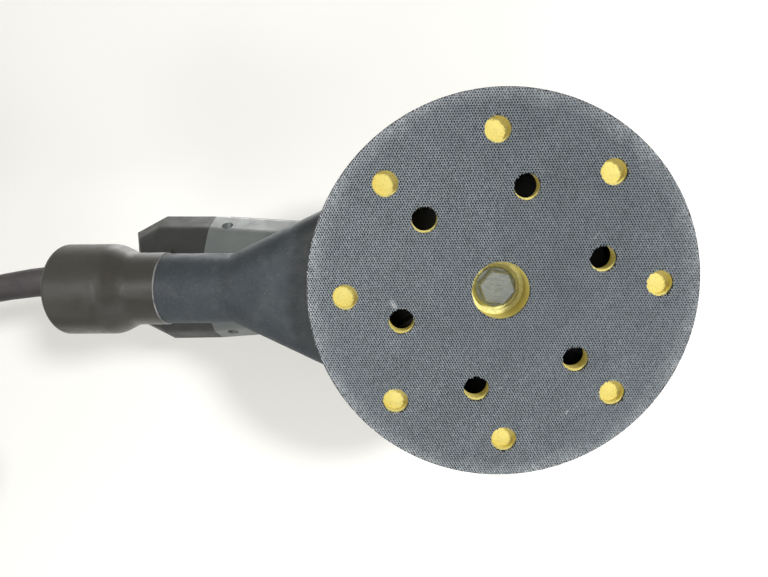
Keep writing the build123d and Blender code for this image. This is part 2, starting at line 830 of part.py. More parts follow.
def rear_cap():
    seam_x = handle_seam[0]
    rear_x = cap_end[0]
    lip_inset = handle_wall + lip_gap + lip_thickness
    cap = cap_solid(0) - cap_heel(0)
    hollow = cap_solid(handle_wall) & slab_x(rear_x + handle_wall, seam_x - lip_length)
    cap -= hollow - cap_heel(handle_wall)
    cap -= cap_solid(lip_inset) & slab_x(seam_x - 2 * lip_length, seam_x)
    lip = handle_solid(handle_wall + lip_gap) - handle_solid(lip_inset)
    cap += lip & slab_x(seam_x, seam_x + lip_length)
    reach = cap_shoulder[1]
    half_clamp = clamp_size[0] / 2
    saddle_y = -cord_diameter / 2 - clamp_gap
    saddle_low = (clamp_x - half_clamp, -reach, cord_axis_z - clamp_size[2] / 2)
    saddle_high = (clamp_x + half_clamp, saddle_y, cord_axis_z + clamp_size[2] / 2)
    supports = block(saddle_low, saddle_high)
    for side in (1, -1):
        inner = side * (board_size[1] / 2 - board_ledge)
        half_ledge = board_size[0] / 2 - board_ledge_inset
        low = (dial_x - half_ledge, min(inner, side * reach), board_z - board_ledge)
        high = (dial_x + half_ledge, max(inner, side * reach), board_z)
        supports += block(low, high)
    cap += (supports & cap_solid(handle_wall / 2)) - cap_heel(handle_wall / 2)
    for z in clamp_screw_heights():
        thread_end = saddle_y - clamp_screw_length
        cap -= rod_y(clamp_screw_diameter + 2 * press_gap, thread_end, saddle_y, clamp_x, z)
    cap -= rod_x(guard_root_diameter + 2 * screw_gap, rear_x, collar_x, 0, cord_axis_z)
    roof_gap = cap_shoulder[3] - handle_wall - dial_z
    slot_half = math.sqrt(dial_radius ** 2 - roof_gap ** 2) + slide_gap
    dial_half = dial_width / 2 + slide_gap
    low = (dial_x - slot_half, -dial_half, dial_z)
    high = (dial_x + slot_half, dial_half, dial_z + 2 * dial_radius)
    cap -= block(low, high)
    for side in (-1, 1):
        near = side * cap_slot_near_y
        far = side * cap_slot_far_y
        low = (cap_slot_rear_x, min(near, far), 0)
        high = (cap_slot_front_x, max(near, far), cap_slot_top_z)
        cap -= block(low, high)
    return cap


def screw(length, head_diameter, head_height, diameter):
    """A cross-slot screw along +Z whose head is below z = 0."""
    body = disc(diameter, 0, length) + disc(head_diameter, -head_height, head_height)
    arm = head_diameter * 0.35
    for turn in (0, 90):
        low = (-arm, -screw_drive_width / 2, -head_height)
        high = (arm, screw_drive_width / 2, -head_height * 0.4)
        body -= Rot(0, 0, turn) * block(low, high)
    return body


def housing_screws():
    screws = []
    for x, z, seat in housing_screw_places:
        length = seat + screw_blind_y - screw_tip_gap
        one = screw(length, screw_head_diameter, screw_head_height, screw_diameter)
        screws.append(Pos(x, -seat, z) * Rot(-90, 0, 0) * one)
    return screws


def shroud_screws():
    one = screw(shroud_screw_length, screw_head_diameter, shroud_screw_head, screw_diameter)
    return [Pos(x, y, shroud_ceiling_z) * one for x, y in shroud_screw_spots()]


def bearing_plate():
    """The metal plate that closes the motor's foot and holds the lower bearing."""
    rim = barrel_bore - press_gap
    boss = lower_bearing["outside"] + 2 * bearing_boss_wall
    boss_top = lower_bearing_top_z + bearing_boss_lip
    plate = disc(2 * rim, shroud_top_z, plate_rim_thickness)
    plate += disc(2 * (shroud_eye_radius - press_gap), shroud_ceiling_z, shroud_top_wall)
    plate += disc(boss, plate_rim_z, boss_top - plate_rim_z)
    eye = hub_neck_diameter + 2 * bearing_eye_gap
    plate -= disc(eye, shroud_ceiling_z, lower_bearing_z - shroud_ceiling_z)
    plate -= disc(lower_bearing["outside"] + 2 * press_gap, lower_bearing_z, lower_bearing["width"])
    plate -= disc(lower_bearing["outside"] - 2, lower_bearing_top_z, bearing_boss_lip)
    for x, y in shroud_screw_spots():
        plate -= Pos(x, y, 0) * disc(screw_diameter + 2 * screw_gap, shroud_top_z, plate_rim_thickness)
    return plate


def flare(inset):
    """The duct's body, from a wide flat mouth to the round tube."""
    sections = []
    mouth_height = shroud_top_z - shroud_wall / 2 - shroud_rim_z
    mouth_z = shroud_rim_z + mouth_height / 2
    corner = flare_start_corner - inset / 2
    mouth = Rectangle(2 * (flare_start_half_width - inset), mouth_height - 2 * inset)
    mouth = chamfer(mouth.vertices(), corner)
    throat = tube_diameter - 2 * inset
    throat_corner = throat / 2 - 0.25
    end = RectangleRounded(throat, throat, throat_corner)
    for x, z, face in ((flare_start_x, mouth_z, mouth), (flare_end_x, tube_z, end)):
        sections.append(Plane((x, 0, z), x_dir=(0, 1, 0), z_dir=(1, 0, 0)) * face)
    return loft(sections, ruled=True)


def dust_shroud():
    """The chamber round the fan with its flared duct and round outlet tube."""
    shroud = disc(2 * shroud_radius, shroud_rim_z, shroud_top_z - shroud_rim_z)
    shroud += flare(0)
    shroud += rod_x(tube_diameter, tube_end_x, flare_end_x, 0, tube_z)
    chamber = shroud_radius - shroud_wall
    shroud -= disc(2 * chamber, shroud_rim_z, shroud_ceiling_z - shroud_rim_z)
    shroud -= flare(tube_wall)
    shroud -= rod_x(tube_diameter - 2 * tube_wall, tube_end_x, flare_end_x, 0, tube_z)
    shroud -= disc(2 * shroud_eye_radius, shroud_ceiling_z, shroud_top_wall)
    for x, y in shroud_screw_spots():
        shroud -= Pos(x, y, 0) * disc(screw_diameter + 2 * screw_gap, shroud_ceiling_z, shroud_top_wall)
    return shroud


def skirt_seal():
    """The soft ring under the chamber's rim, just clear of the pad's plate."""
    bottom = plate_top_z + skirt_clearance
    inner = 2 * (shroud_radius - shroud_wall)
    return ring(inner, 2 * shroud_radius, bottom, shroud_rim_z - bottom)


def corners_at(outline, *places):
    """The outline's corners at places along the tube, each with its distance from the tube's axis."""
    spots = [Vector(x, tube_z + radius) for x, radius in places]
    return [v for v in outline.vertices() if min((Vector(v) - spot).length for spot in spots) < press_gap]


def hose_adapter():
    face_x = tube_end_x - adapter_face_gap
    spigot_x = tube_end_x + adapter_spigot_length
    neck_x = face_x - adapter_neck_length
    cuff_x = neck_x - adapter_shoulder_length
    end_x = cuff_x - adapter_cuff_length
    socket_x = end_x + adapter_socket_depth
    spigot = tube_diameter / 2 - tube_wall - running_gap
    neck = adapter_neck_diameter / 2
    cuff = adapter_cuff_diameter / 2
    bore = spigot - adapter_spigot_wall
    socket = adapter_socket_diameter / 2
    points = [
        (spigot_x, bore),
        (spigot_x, spigot),
        (face_x, spigot),
        (face_x, neck),
        (neck_x, neck),
        (cuff_x, cuff),
        (end_x, cuff),
        (end_x, socket),
        (socket_x, socket),
        (socket_x, bore),
    ]
    outline = Polygon(*[(x, tube_z + r) for x, r in points], align=None)
    outline = fillet(corners_at(outline, (neck_x, neck), (cuff_x, cuff)), adapter_shoulder_round)
    outline = fillet(corners_at(outline, (end_x, cuff)), adapter_end_round)
    outline = chamfer(corners_at(outline, (face_x, neck)), adapter_front_chamfer)
    axis = Axis((0, 0, tube_z), (1, 0, 0))
    return revolve(Plane.XZ * outline, axis)


def brush_pieces():
    """Holders, carbons, springs and caps of both brushes, two solids each."""
    start = commutator_diameter / 2 + running_gap
    cap_inner = barrel_neck - barrel_roof - slide_gap
    carbon_end = cap_inner - brush_spring_length
    cap_outer = barrel_radius + brush_cap_proud
    half_x = brush_width / 2
    half_z = brush_height / 2
    wall = brush_holder_wall
    low = (-half_x - wall, start + brush_holder_gap, brush_z - half_z - wall)
    high = (half_x + wall, cap_inner, brush_z + half_z + wall)
    holder = block(low, high)
    room_x = half_x + running_gap
    room_z = half_z + running_gap
    holder -= block((-room_x, start, brush_z - room_z), (room_x, cap_inner, brush_z + room_z))
    carbon = block((-half_x, start, brush_z - half_z), (half_x, carbon_end, brush_z + half_z))
    spring_diameter = brush_width - 2 * spring_side_gap
    spring = rod_y(spring_diameter, carbon_end, cap_inner, 0, brush_z)
    spring -= rod_y(spring_diameter - 2 * spring_wire, carbon_end, cap_inner, 0, brush_z)
    cap = rod_y(brush_cap_diameter, cap_inner, cap_outer, 0, brush_z)
    slot_low = (-brush_cap_diameter, cap_outer - brush_cap_slot_depth, brush_z - brush_cap_slot / 2)
    slot_high = (brush_cap_diameter, cap_outer, brush_z + brush_cap_slot / 2)
    cap -= block(slot_low, slot_high)
    turned = Rot(0, 0, 180)
    return {
        "brush_holders": [holder, turned * holder],
        "carbon_brushes": [carbon, turned * carbon],
        "brush_springs": [spring, turned * spring],
        "brush_caps": [cap, turned * cap],
    }


def switch_module():
    rear_x = switch_front_x - switch_size[0]
    low = (rear_x, -switch_size[1] / 2, switch_floor_z)
    high = (switch_front_x, switch_size[1] / 2, switch_floor_z + switch_size[2])
    return chamfer(block(low, high).edges().filter_by(Axis.X), switch_chamfer)


def switch_slider():
    """A thumb slide on the handle's back, with the bar that pushes the switch."""
    deck_z = handle_neck[3] + slide_gap
    low = (slider_x - slider_length / 2, -slider_width / 2, deck_z)
    high = (slider_x + slider_length / 2, slider_width / 2, deck_z + slider_height)
    slider = fillet(block(low, high).faces().sort_by(Axis.Z)[-1].edges(), slider_round)
    for index in range(slider_ridges):
        x = slider_x + (index - (slider_ridges - 1) / 2) * slider_ridge_pitch
        ridge_low = (x - slider_ridge_width / 2, -slider_width / 3, high[2] - slider_ridge_root)
        ridge_high = (x + slider_ridge_width / 2, slider_width / 3, high[2] + slider_ridge_height)
        slider += block(ridge_low, ridge_high)
    stem_half = slider_stem_length / 2
    stem_side = slider_stem_width / 2
    stem_low = (slider_x - stem_half, -stem_side, slider_link_z)
    stem_high = (slider_x + stem_half, stem_side, deck_z)
    slider += block(stem_low, stem_high)
    link_low = (switch_front_x + slide_gap, -stem_side, slider_link_z)
    link_high = (slider_x, stem_side, slider_link_z + slider_link_height)
    slider += block(link_low, link_high)
    finger_low = (switch_front_x + slide_gap, -stem_side, slider_link_z - slider_finger_drop)
    finger_high = (finger_low[0] + slider_finger_thickness, stem_side, slider_link_z)
    return slider + block(finger_low, finger_high)


def speed_dial():
    dial = rod_y(2 * dial_radius, -dial_width / 2, dial_width / 2, dial_x, dial_z)
    for index in range(dial_notches):
        turn = math.radians(360.0 * index / dial_notches)
        x = dial_x + (dial_radius + dial_notch_rise) * math.cos(turn)
        z = dial_z + (dial_radius + dial_notch_rise) * math.sin(turn)
        dial -= rod_y(dial_notch_diameter, -dial_width / 2, dial_width / 2, x, z)
    return dial + rod_y(dial_pin_diameter, -dial_pin_length / 2, dial_pin_length / 2, dial_x, dial_z)


def speed_board():
    """The circuit board, with two ears that carry the dial's pin."""
    half_x = board_size[0] / 2
    half_y = board_size[1] / 2
    top_z = board_z + board_size[2]
    board = block((dial_x - half_x, -half_y, board_z), (dial_x + half_x, half_y, top_z))
    slot_half = math.sqrt(dial_radius ** 2 - (dial_z - top_z) ** 2) + 2 * slide_gap
    dial_half = dial_width / 2 + 2 * slide_gap
    board -= block((dial_x - slot_half, -dial_half, board_z), (dial_x + slot_half, dial_half, top_z))
    for side in (1, -1):
        near = side * (dial_width / 2 + dial_ear_gap)
        far = near + side * dial_ear_size[1]
        low = (dial_x - dial_ear_size[0] / 2, min(near, far), top_z - board_size[2])
        high = (dial_x + dial_ear_size[0] / 2, max(near, far), top_z + dial_ear_size[2])
        board += block(low, high)
    return board - rod_y(dial_pin_diameter + 2 * running_gap, -half_y, half_y, dial_x, dial_z)


def clamp_screw_heights():
    return [cord_axis_z - clamp_screw_spread / 2, cord_axis_z + clamp_screw_spread / 2]


def cord_clamp():
    near = cord_diameter / 2 + clamp_gap
    half_x = clamp_size[0] / 2
    half_z = clamp_size[2] / 2
    low = (clamp_x - half_x, near, cord_axis_z - half_z)
    high = (clamp_x + half_x, near + clamp_size[1], cord_axis_z + half_z)
    bar = block(low, high)
    for z in clamp_screw_heights():
        bar -= rod_y(clamp_screw_diameter + 2 * screw_gap, near, near + clamp_size[1], clamp_x, z)
    return bar


def clamp_screws():
    seat_y = cord_diameter / 2 + clamp_gap + clamp_size[1]
    length = clamp_size[1] + cord_diameter + 2 * clamp_gap + clamp_screw_length - screw_tip_gap
    one = screw(length, clamp_screw_head, clamp_screw_diameter * 0.8, clamp_screw_diameter)
    return [Pos(clamp_x, seat_y, z) * Rot(90, 0, 0) * one for z in clamp_screw_heights()]


def cord_tail():
    return rod_x(cord_diameter, collar_x + guard_collar_length, tail_front_x, 0, cord_axis_z)


def cord_guard():
    """The long tapered sleeve, bending a little to one side and down."""
    points = [Vector(*point) for point in guard_path]
    last = len(points) - 1
    sections = []
    for index, point in enumerate(points):
        if index == 0:
            heading = Vector(-1, 0, 0)
        elif index == last:
            heading = Vector(*cord_route[1]) - Vector(*cord_route[0])
        else:
            heading = points[index + 1] - points[index - 1]
        share = index / last
        diameter = guard_root_diameter + (guard_tip_diameter - guard_root_diameter) * share
        sections.append(Plane(point, z_dir=heading) * Circle(diameter / 2))
    guard = loft(sections)
    guard += rod_x(guard_root_diameter, cap_end[0], collar_x, 0, cord_axis_z)
    guard += rod_x(guard_collar_diameter, collar_x, collar_x + guard_collar_length, 0, cord_axis_z)
    return guard


def corner_radii(points):
    """For each corner, the largest arc that its two runs leave room for."""
    radii = []
    for before, corner, after in zip(points, points[1:], points[2:]):
        run_in = corner - before
        run_out = after - corner
        half_turn = math.radians(run_in.get_angle(run_out) / 2)
        radii.append(0.45 * min(run_in.length, run_out.length) / math.tan(half_turn))
    return radii


def cord():
    points = [Vector(*point) for point in cord_route]
    radii = corner_radii(points)
    path = FilletPolyline(*points, radius=radii)
    print("cord radii", [round(radius, 1) for radius in radii])
    section = Plane(points[0], z_dir=points[1] - points[0]) * Circle(cord_diameter / 2)
    tube = sweep(section, path)
    share = tube.volume / (path.length * section.area)
    print("cord length", round(path.length, 1), "volume share", round(share, 4))
    return tube


def coil_radius(turns):
    """Distance from the coil's centre after a number of turns: inwards first, then out again."""
    outer = coil_inner_radius + coil_pitch * (coil_turns - 0.5)
    layer = int(min(turns, coil_layers * coil_turns - 1e-9) // coil_turns)
    last = layer == coil_layers - 1
    along = turns - layer * coil_turns if last else min(turns - layer * coil_turns, coil_turns - 0.5)
    inward = layer % 2 == 0
    return outer - coil_pitch * along if inward else coil_inner_radius + coil_pitch * along


def coil_height(turns):
    """Layers are level, apart from the half turn in which the spiral reverses."""
    layer = int(min(turns, coil_layers * coil_turns - 1e-9) // coil_turns)
    into_climb = turns - layer * coil_turns - (coil_turns - 0.5)
    top = layer == coil_layers - 1
    share = 0.0 if into_climb <= 0 or top else min(into_climb / 0.5, 1.0)
    climb = share * share * (3 - 2 * share)
    return cord_route[-1][2] + coil_pitch * (layer + climb)


def coil_point(turns):
    outer = coil_radius(0)
    start = Vector(*cord_route[-1]) + Vector(0, cord_diameter, 0)
    centre_x = start.X + outer
    angle = math.pi - 2 * math.pi * turns
    radius = coil_radius(turns)
    x = centre_x + radius * math.cos(angle)
    y = start.Y + radius * math.sin(angle)
    return Vector(x, y, coil_height(turns))


def biarc(start, start_heading, end, end_heading):
    """Two arcs that leave and arrive along the given headings."""
    across = end - start
    both = start_heading + end_heading
    spread = 2 * (1 - start_heading.dot(end_heading))
    lean = across.dot(both)
    if spread < 1e-9:
        reach = across.dot(across) / (2 * lean)
    else:
        reach = (math.sqrt(lean * lean + spread * across.dot(across)) - lean) / spread
    middle = (start + end + (start_heading - end_heading) * reach) * 0.5
    first = TangentArc(start, middle, tangent=start_heading)
    second = TangentArc(middle, end, tangent=first % 1)
    return [first, second]


def coil_path():
    steps = coil_turns * coil_layers * coil_steps
    points = [coil_point(index / coil_steps) for index in range(steps + 1)]
    tiny = 1e-4
    headings = []
    for index in range(steps + 1):
        turns = index / coil_steps
        ahead = coil_point(turns + tiny) if index < steps else coil_point(turns)
        behind = coil_point(turns - tiny) if index > 0 else coil_point(turns)
        headings.append((ahead - behind).normalized())
    headings[0] = Vector(0, 1, 0)
    headings[-1] = Vector(0, 1, 0)
    edges = [Line(Vector(*cord_route[-1]), points[0])]
    for index in range(steps):
        edges += biarc(points[index], headings[index], points[index + 1], headings[index + 1])
    edges.append(Line(points[-1], points[-1] + headings[-1] * coil_tail_length))
    return Wire(edges)


def least_gap(path):
    """The least room between two turns, measured on points along the tube."""
    count = 1200
    points = [path.position_at(index / count) for index in range(count + 1)]
    apart = int(1.5 * math.pi * coil_inner_radius / path.length * count)
    gap = math.inf
    for index in range(0, count + 1, 2):
        for other in range(index + apart, count + 1):
            gap = min(gap, (points[index] - points[other]).length)
    return gap - cord_diameter


def cord_coil():
    path = coil_path()
    section = Plane(path.position_at(0), z_dir=(0, 1, 0)) * Circle(cord_diameter / 2)
    tube = sweep(section, path)
    share = tube.volume / (path.length * section.area)
    print("coil length", round(path.length, 1), "volume share", round(share, 4))
    print("coil least gap", round(least_gap(path), 2))
    return tube


def cord_tie():
    """A flat strap round all the turns."""
    half = tie_width / 2
    inner = math.sqrt((coil_inner_radius - cord_diameter / 2) ** 2 - half ** 2) - tie_gap
    outer = coil_radius(0) + cord_diameter / 2 + 2 * tie_gap
    bottom = cord_route[-1][2] - cord_diameter / 2 - tie_gap
    top = coil_height(coil_turns * coil_layers) + cord_diameter / 2 + tie_gap
    wall = tie_thickness
    band = block((inner - wall, -half, bottom - wall), (outer + wall, half, top + wall))
    band -= block((inner, -half, bottom), (outer, half, top))
    start = coil_point(0)
    return Pos(start.X + coil_radius(0), start.Y, 0) * band


def plug_body():
    """A moulded two-pin plug that lies beside the coil."""
    start = coil_point(coil_turns * coil_layers) + Vector(0, coil_tail_length, 0)
    stations = (
        (0.0, Circle(plug_sleeve_diameter / 2 - 0.8)),
        (plug_sleeve_length, Circle(plug_sleeve_diameter / 2)),
    )
    facing = dict(x_dir=(1, 0, 0), z_dir=(0, 1, 0))
    sleeve = loft([Plane(start + Vector(0, y, 0), **facing) * face for y, face in stations])
    shoulder_y = start.Y + plug_sleeve_length
    face_y = shoulder_y + plug_body_length
    rim_y = face_y - plug_rim_length
    corner = plug_face_height / 2 - 1
    neck = RectangleRounded(plug_sleeve_diameter + 4, plug_sleeve_diameter + 2, plug_sleeve_diameter / 2)
    wide = RectangleRounded(plug_face_width, plug_face_height, corner)
    at = [Plane((start.X, y, start.Z), **facing) for y in (shoulder_y, rim_y)]
    body = loft([at[0] * neck, at[1] * wide], ruled=True)
    body += extrude(at[1] * wide, plug_rim_length)
    return sleeve + body


def plug_pins():
    start = coil_point(coil_turns * coil_layers)
    face_y = start.Y + coil_tail_length + plug_sleeve_length + plug_body_length
    pins = []
    for side in (1, -1):
        x = start.X + side * plug_pin_spread / 2
        pin = rod_y(plug_pin_diameter, face_y, face_y + plug_pin_length, x, start.Z)
        pins.append(fillet(pin.edges().sort_by(Axis.Y)[-1], plug_pin_diameter / 3))
    return pins


shell = housing_shell()
parts["housing_left"] = half_of(shell, 1)
parts["housing_right"] = half_of(shell, -1)
parts["rear_cap"] = rear_cap()
parts["top_grip"] = top_grip()
parts["handle_grip"] = handle_grip()
parts["dust_shroud"] = dust_shroud()
parts["skirt_seal"] = skirt_seal()
parts["bearing_plate"] = bearing_plate()
parts["housing_screws"] = housing_screws()
parts["shroud_screws"] = shroud_screws()
parts["stator_core"] = stator_core()
parts["field_coils"] = field_coils()
parts["lower_bearing_outer"] = outer_ring(lower_bearing, lower_bearing_z)
parts["upper_bearing_outer"] = outer_ring(upper_bearing, upper_bearing_z)
parts.update(brush_pieces())
parts["switch_module"] = switch_module()
parts["speed_board"] = speed_board()
parts["cord_clamp"] = cord_clamp()
parts["clamp_screws"] = clamp_screws()
parts["cord_tail"] = cord_tail()
parts["cord_guard"] = cord_guard()
parts["cord"] = cord()
parts["cord_coil"] = cord_coil()
parts["cord_tie"] = cord_tie()
parts["plug_body"] = plug_body()
parts["plug_pins"] = plug_pins()

parts["motor_shaft"] = motor_shaft()
parts["armature_core"] = armature_core()
parts["armature_winding"] = armature_winding()
parts["commutator"] = commutator()
parts["cooling_fan"] = cooling_fan()
parts["eccentric_hub"] = eccentric_hub()
parts["dust_fan"] = dust_fan()
parts["lower_bearing_inner"] = inner_ring(lower_bearing, lower_bearing_z)
parts["lower_bearing_balls"] = ball_set(lower_bearing, lower_bearing_z)
parts["upper_bearing_inner"] = inner_ring(upper_bearing, upper_bearing_z)
parts["upper_bearing_balls"] = ball_set(upper_bearing, upper_bearing_z)
parts["pad_bearing_outer"] = eccentric * outer_ring(pad_bearing, pad_bearing_z)
parts["pad_bearing_balls"] = [eccentric * ball for ball in ball_set(pad_bearing, pad_bearing_z)]
parts["cup_clip"] = cup_clip()

parts["pad_bearing_inner"] = eccentric * inner_ring(pad_bearing, pad_bearing_z)
parts["pad_stub"] = pad_stub()
parts["stub_clip"] = stub_clip()
parts["pad_plate"] = pad_plate()
parts["pad_foam"] = pad_foam()
parts["pad_hooks"] = pad_hooks()
parts["pad_bolt"] = pad_bolt()

parts["switch_slider"] = switch_slider()
parts["speed_dial"] = speed_dial()
parts["hose_adapter"] = hose_adapter()

os.makedirs("parts", exist_ok=True)
for name, piece in parts.items():
    if isinstance(piece, list):
        piece = Compound(children=piece)
    export_step(piece, f"parts/{name}.step")
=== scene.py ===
import json
import math
import random

import bmesh
import bpy
from mathutils import Matrix, Vector


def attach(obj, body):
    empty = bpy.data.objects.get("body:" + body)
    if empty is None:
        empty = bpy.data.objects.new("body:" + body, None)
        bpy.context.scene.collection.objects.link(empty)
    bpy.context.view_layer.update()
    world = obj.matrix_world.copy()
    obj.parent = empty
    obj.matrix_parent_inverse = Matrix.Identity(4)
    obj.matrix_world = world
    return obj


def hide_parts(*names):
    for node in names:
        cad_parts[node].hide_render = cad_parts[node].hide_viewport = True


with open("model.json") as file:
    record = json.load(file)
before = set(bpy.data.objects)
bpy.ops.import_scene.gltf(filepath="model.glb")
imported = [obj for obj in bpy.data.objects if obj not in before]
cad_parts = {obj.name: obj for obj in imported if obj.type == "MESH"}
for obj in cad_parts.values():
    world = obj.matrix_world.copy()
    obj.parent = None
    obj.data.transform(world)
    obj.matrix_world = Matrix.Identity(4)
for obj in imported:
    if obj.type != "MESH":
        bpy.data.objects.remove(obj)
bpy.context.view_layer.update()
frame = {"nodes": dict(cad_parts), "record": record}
nodes = frame["nodes"]
MM = 0.001
MM_PER_METRE = 1000
MERGE_DISTANCE = 0.00001


# The camera looks up at the pad. Its turn is a rotation vector in degrees, and its shift is in millimetres.
PHOTO_WIDTH = 768
PHOTO_FOCAL = 492.9
SENSOR_WIDTH = 36.0
NEAR_CLIP = 0.01
VIEW_TURN = (7.619, 1.483, -0.517)
VIEW_SHIFT = (44.887, 3.316, 188.717)


def place_camera():
    turn = Vector([math.radians(angle) for angle in VIEW_TURN])
    looks = Matrix.Rotation(turn.length, 3, turn.normalized())
    place = -(looks.transposed() @ Vector(VIEW_SHIFT)) * MM
    axes = Matrix((looks[0], -looks[1], -looks[2])).transposed()
    lens = bpy.data.cameras.new("photo_camera")
    lens.sensor_fit = "HORIZONTAL"
    lens.sensor_width = SENSOR_WIDTH
    lens.lens = SENSOR_WIDTH * PHOTO_FOCAL / PHOTO_WIDTH
    lens.clip_start = NEAR_CLIP
    camera = bpy.data.objects.new("photo_camera", lens)
    bpy.context.collection.objects.link(camera)
    camera.matrix_world = Matrix.Translation(place) @ axes.to_4x4()
    bpy.context.scene.camera = camera


place_camera()


# Small tools for modelling by hand
def deselect_all():
    if bpy.context.mode != "OBJECT":
        bpy.ops.object.mode_set(mode="OBJECT")
    bpy.ops.object.select_all(action="DESELECT")


def take(piece):
    deselect_all()
    piece.select_set(True)
    bpy.context.view_layer.objects.active = piece


def named(name):
    piece = bpy.context.active_object
    piece.name = name
    piece.data.name = name
    return piece


def edit(piece):
    take(piece)
    bpy.ops.object.mode_set(mode="EDIT")
    return bmesh.from_edit_mesh(piece.data)


def done(piece):
    bmesh.update_edit_mesh(piece.data)
    bpy.ops.object.mode_set(mode="OBJECT")


def settle(piece):
    """Puts the piece's place into its mesh, so that its object sits at the origin."""
    take(piece)
    bpy.ops.object.transform_apply(location=True, rotation=True, scale=True)


def outwards(piece):
    """Merges doubles and turns every face outwards."""
    edit(piece)
    bpy.ops.mesh.select_all(action="SELECT")
    bpy.ops.mesh.remove_doubles(threshold=MERGE_DISTANCE)
    bpy.ops.mesh.normals_make_consistent(inside=False)
    bpy.ops.object.mode_set(mode="OBJECT")


def smooth(piece, angle):
    take(piece)
    bpy.ops.object.shade_smooth_by_angle(angle=math.radians(angle))


def apply_all(piece):
    take(piece)
    for modifier in list(piece.modifiers):
        bpy.ops.object.modifier_apply(modifier=modifier.name)


def join(pieces, name):
    take(pieces[0])
    for piece in pieces[1:]:
        piece.select_set(True)
    if len(pieces) > 1:
        bpy.ops.object.join()
    return named(name)


def keep(piece, body, finish, instead_of=()):
    """Gives a finished piece its body, its finish and the nodes that it stands for."""
    piece.data.materials.clear()
    piece.data.materials.append(finish)
    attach(piece, body)
    if instead_of:
        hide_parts(*instead_of)
    return piece


# Finishes: each is a tree of nodes on the piece's own coordinates, in metres.
def srgb(red, green, blue):
    """A colour given as 0 to 255, as linear red, green, blue and alpha."""
    shares = [value / 255 for value in (red, green, blue)]
    linear = [s / 12.92 if s <= 0.04045 else ((s + 0.055) / 1.055) ** 2.4 for s in shares]
    return (*linear, 1.0)


DUST_FILM = srgb(176, 174, 166)
DUST_SPECK = srgb(82, 89, 95)
PALE_DUST_SPECK = srgb(124, 129, 132)
CORE_STAIN = srgb(88, 62, 44)
# Darker yellow for painted shade in the foam's pores
FOAM_PORE_SHADE = srgb(150, 118, 40)
PAD_SCUFF = srgb(212, 214, 214)
FLECK_DARK = (0.80, 0.80, 0.80, 1.0)
FLECK_LIGHT = (1.14, 1.14, 1.14, 1.0)
SHEEN_MARKS = 0.12
WIRE_WANDER = 0.0012


def feed(tree, socket, value):
    """Links a socket to another node's output, or sets its value."""
    if isinstance(value, bpy.types.NodeSocket):
        tree.links.new(value, socket)
    else:
        socket.default_value = value


def add_node(tree, kind, links=(), **values):
    made = tree.nodes.new(kind)
    for key, value in values.items():
        setattr(made, key, value)
    for socket, value in dict(links).items():
        feed(tree, made.inputs[socket], value)
    return made


def either(tree, first, second):
    """1 where at least one of two kinds of ray looks."""
    return add_node(tree, "ShaderNodeMath", {0: first, 1: second}, operation="MAXIMUM").outputs[0]


class Finish:
    """A material under construction, with the few node patterns that the sander's finishes use."""

    def __init__(self, name, roughness, metallic=0.0, specular=0.5):
        self.material = bpy.data.materials.new(name)
        self.material.use_nodes = True
        self.tree = self.material.node_tree
        self.shader = self.tree.nodes["Principled BSDF"]
        self.shader.inputs["Roughness"].default_value = roughness
        self.shader.inputs["Metallic"].default_value = metallic
        self.shader.inputs["Specular IOR Level"].default_value = specular
        self.place = self.node("ShaderNodeTexCoord").outputs["Object"]

    def node(self, kind, links=(), **values):
        return add_node(self.tree, kind, links, **values)

    def math(self, operation, first, second=0.0):
        return self.node("ShaderNodeMath", {0: first, 1: second}, operation=operation).outputs[0]

    def plus(self, first, second):
        return self.math("ADD", first, second)

    def times(self, first, second):
        return self.math("MULTIPLY", first, second)

    def axis(self, name):
        return self.node("ShaderNodeSeparateXYZ", {0: self.place}).outputs[name]

    def moved(self, turn, scale):
        links = {"Vector": self.place, "Rotation": turn, "Scale": scale}
        return self.node("ShaderNodeMapping", links).outputs[0]

    def noise(self, size_mm, detail=2.0, rough=0.5):
        links = {"Vector": self.place, "Scale": MM_PER_METRE / size_mm, "Detail": detail, "Roughness": rough}
        return self.node("ShaderNodeTexNoise", links).outputs["Fac"]

    def cells(self, size_mm):
        links = {"Vector": self.place, "Scale": MM_PER_METRE / size_mm}
        return self.node("ShaderNodeTexVoronoi", links)

    def span(self, value, low, high, new_low=0.0, new_high=1.0):
        links = {"Value": value, "From Min": low, "From Max": high, "To Min": new_low, "To Max": new_high}
        return self.node("ShaderNodeMapRange", links).outputs[0]

    def ramp(self, value, *stops):
        made = self.node("ShaderNodeValToRGB", {0: value})
        for element, (place, colour) in zip(made.color_ramp.elements, stops):
            element.position = place
            element.color = colour
        return made.outputs[0]

    def blend(self, share, first, second, kind="MIX"):
        links = {0: share, 6: first, 7: second}
        return self.node("ShaderNodeMix", links, data_type="RGBA", blend_type=kind).outputs[2]

    def colour(self, value):
        feed(self.tree, self.shader.inputs["Base Color"], value)

    def rough(self, value):
        feed(self.tree, self.shader.inputs["Roughness"], value)

    def bump(self, height, depth_mm, strength):
        links = {"Height": height, "Distance": depth_mm * MM, "Strength": strength}
        feed(self.tree, self.shader.inputs["Normal"], self.node("ShaderNodeBump", links).outputs[0])

    def specks(self, size_mm, radius, share):
        """Sparse round specks: 1 inside a speck and 0 elsewhere."""
        cells = self.cells(size_mm).outputs
        near = self.math("LESS_THAN", cells["Distance"], radius)
        draw = self.node("ShaderNodeSeparateColor", {0: cells["Color"]}).outputs[0]
        return self.times(near, self.math("LESS_THAN", draw, share))


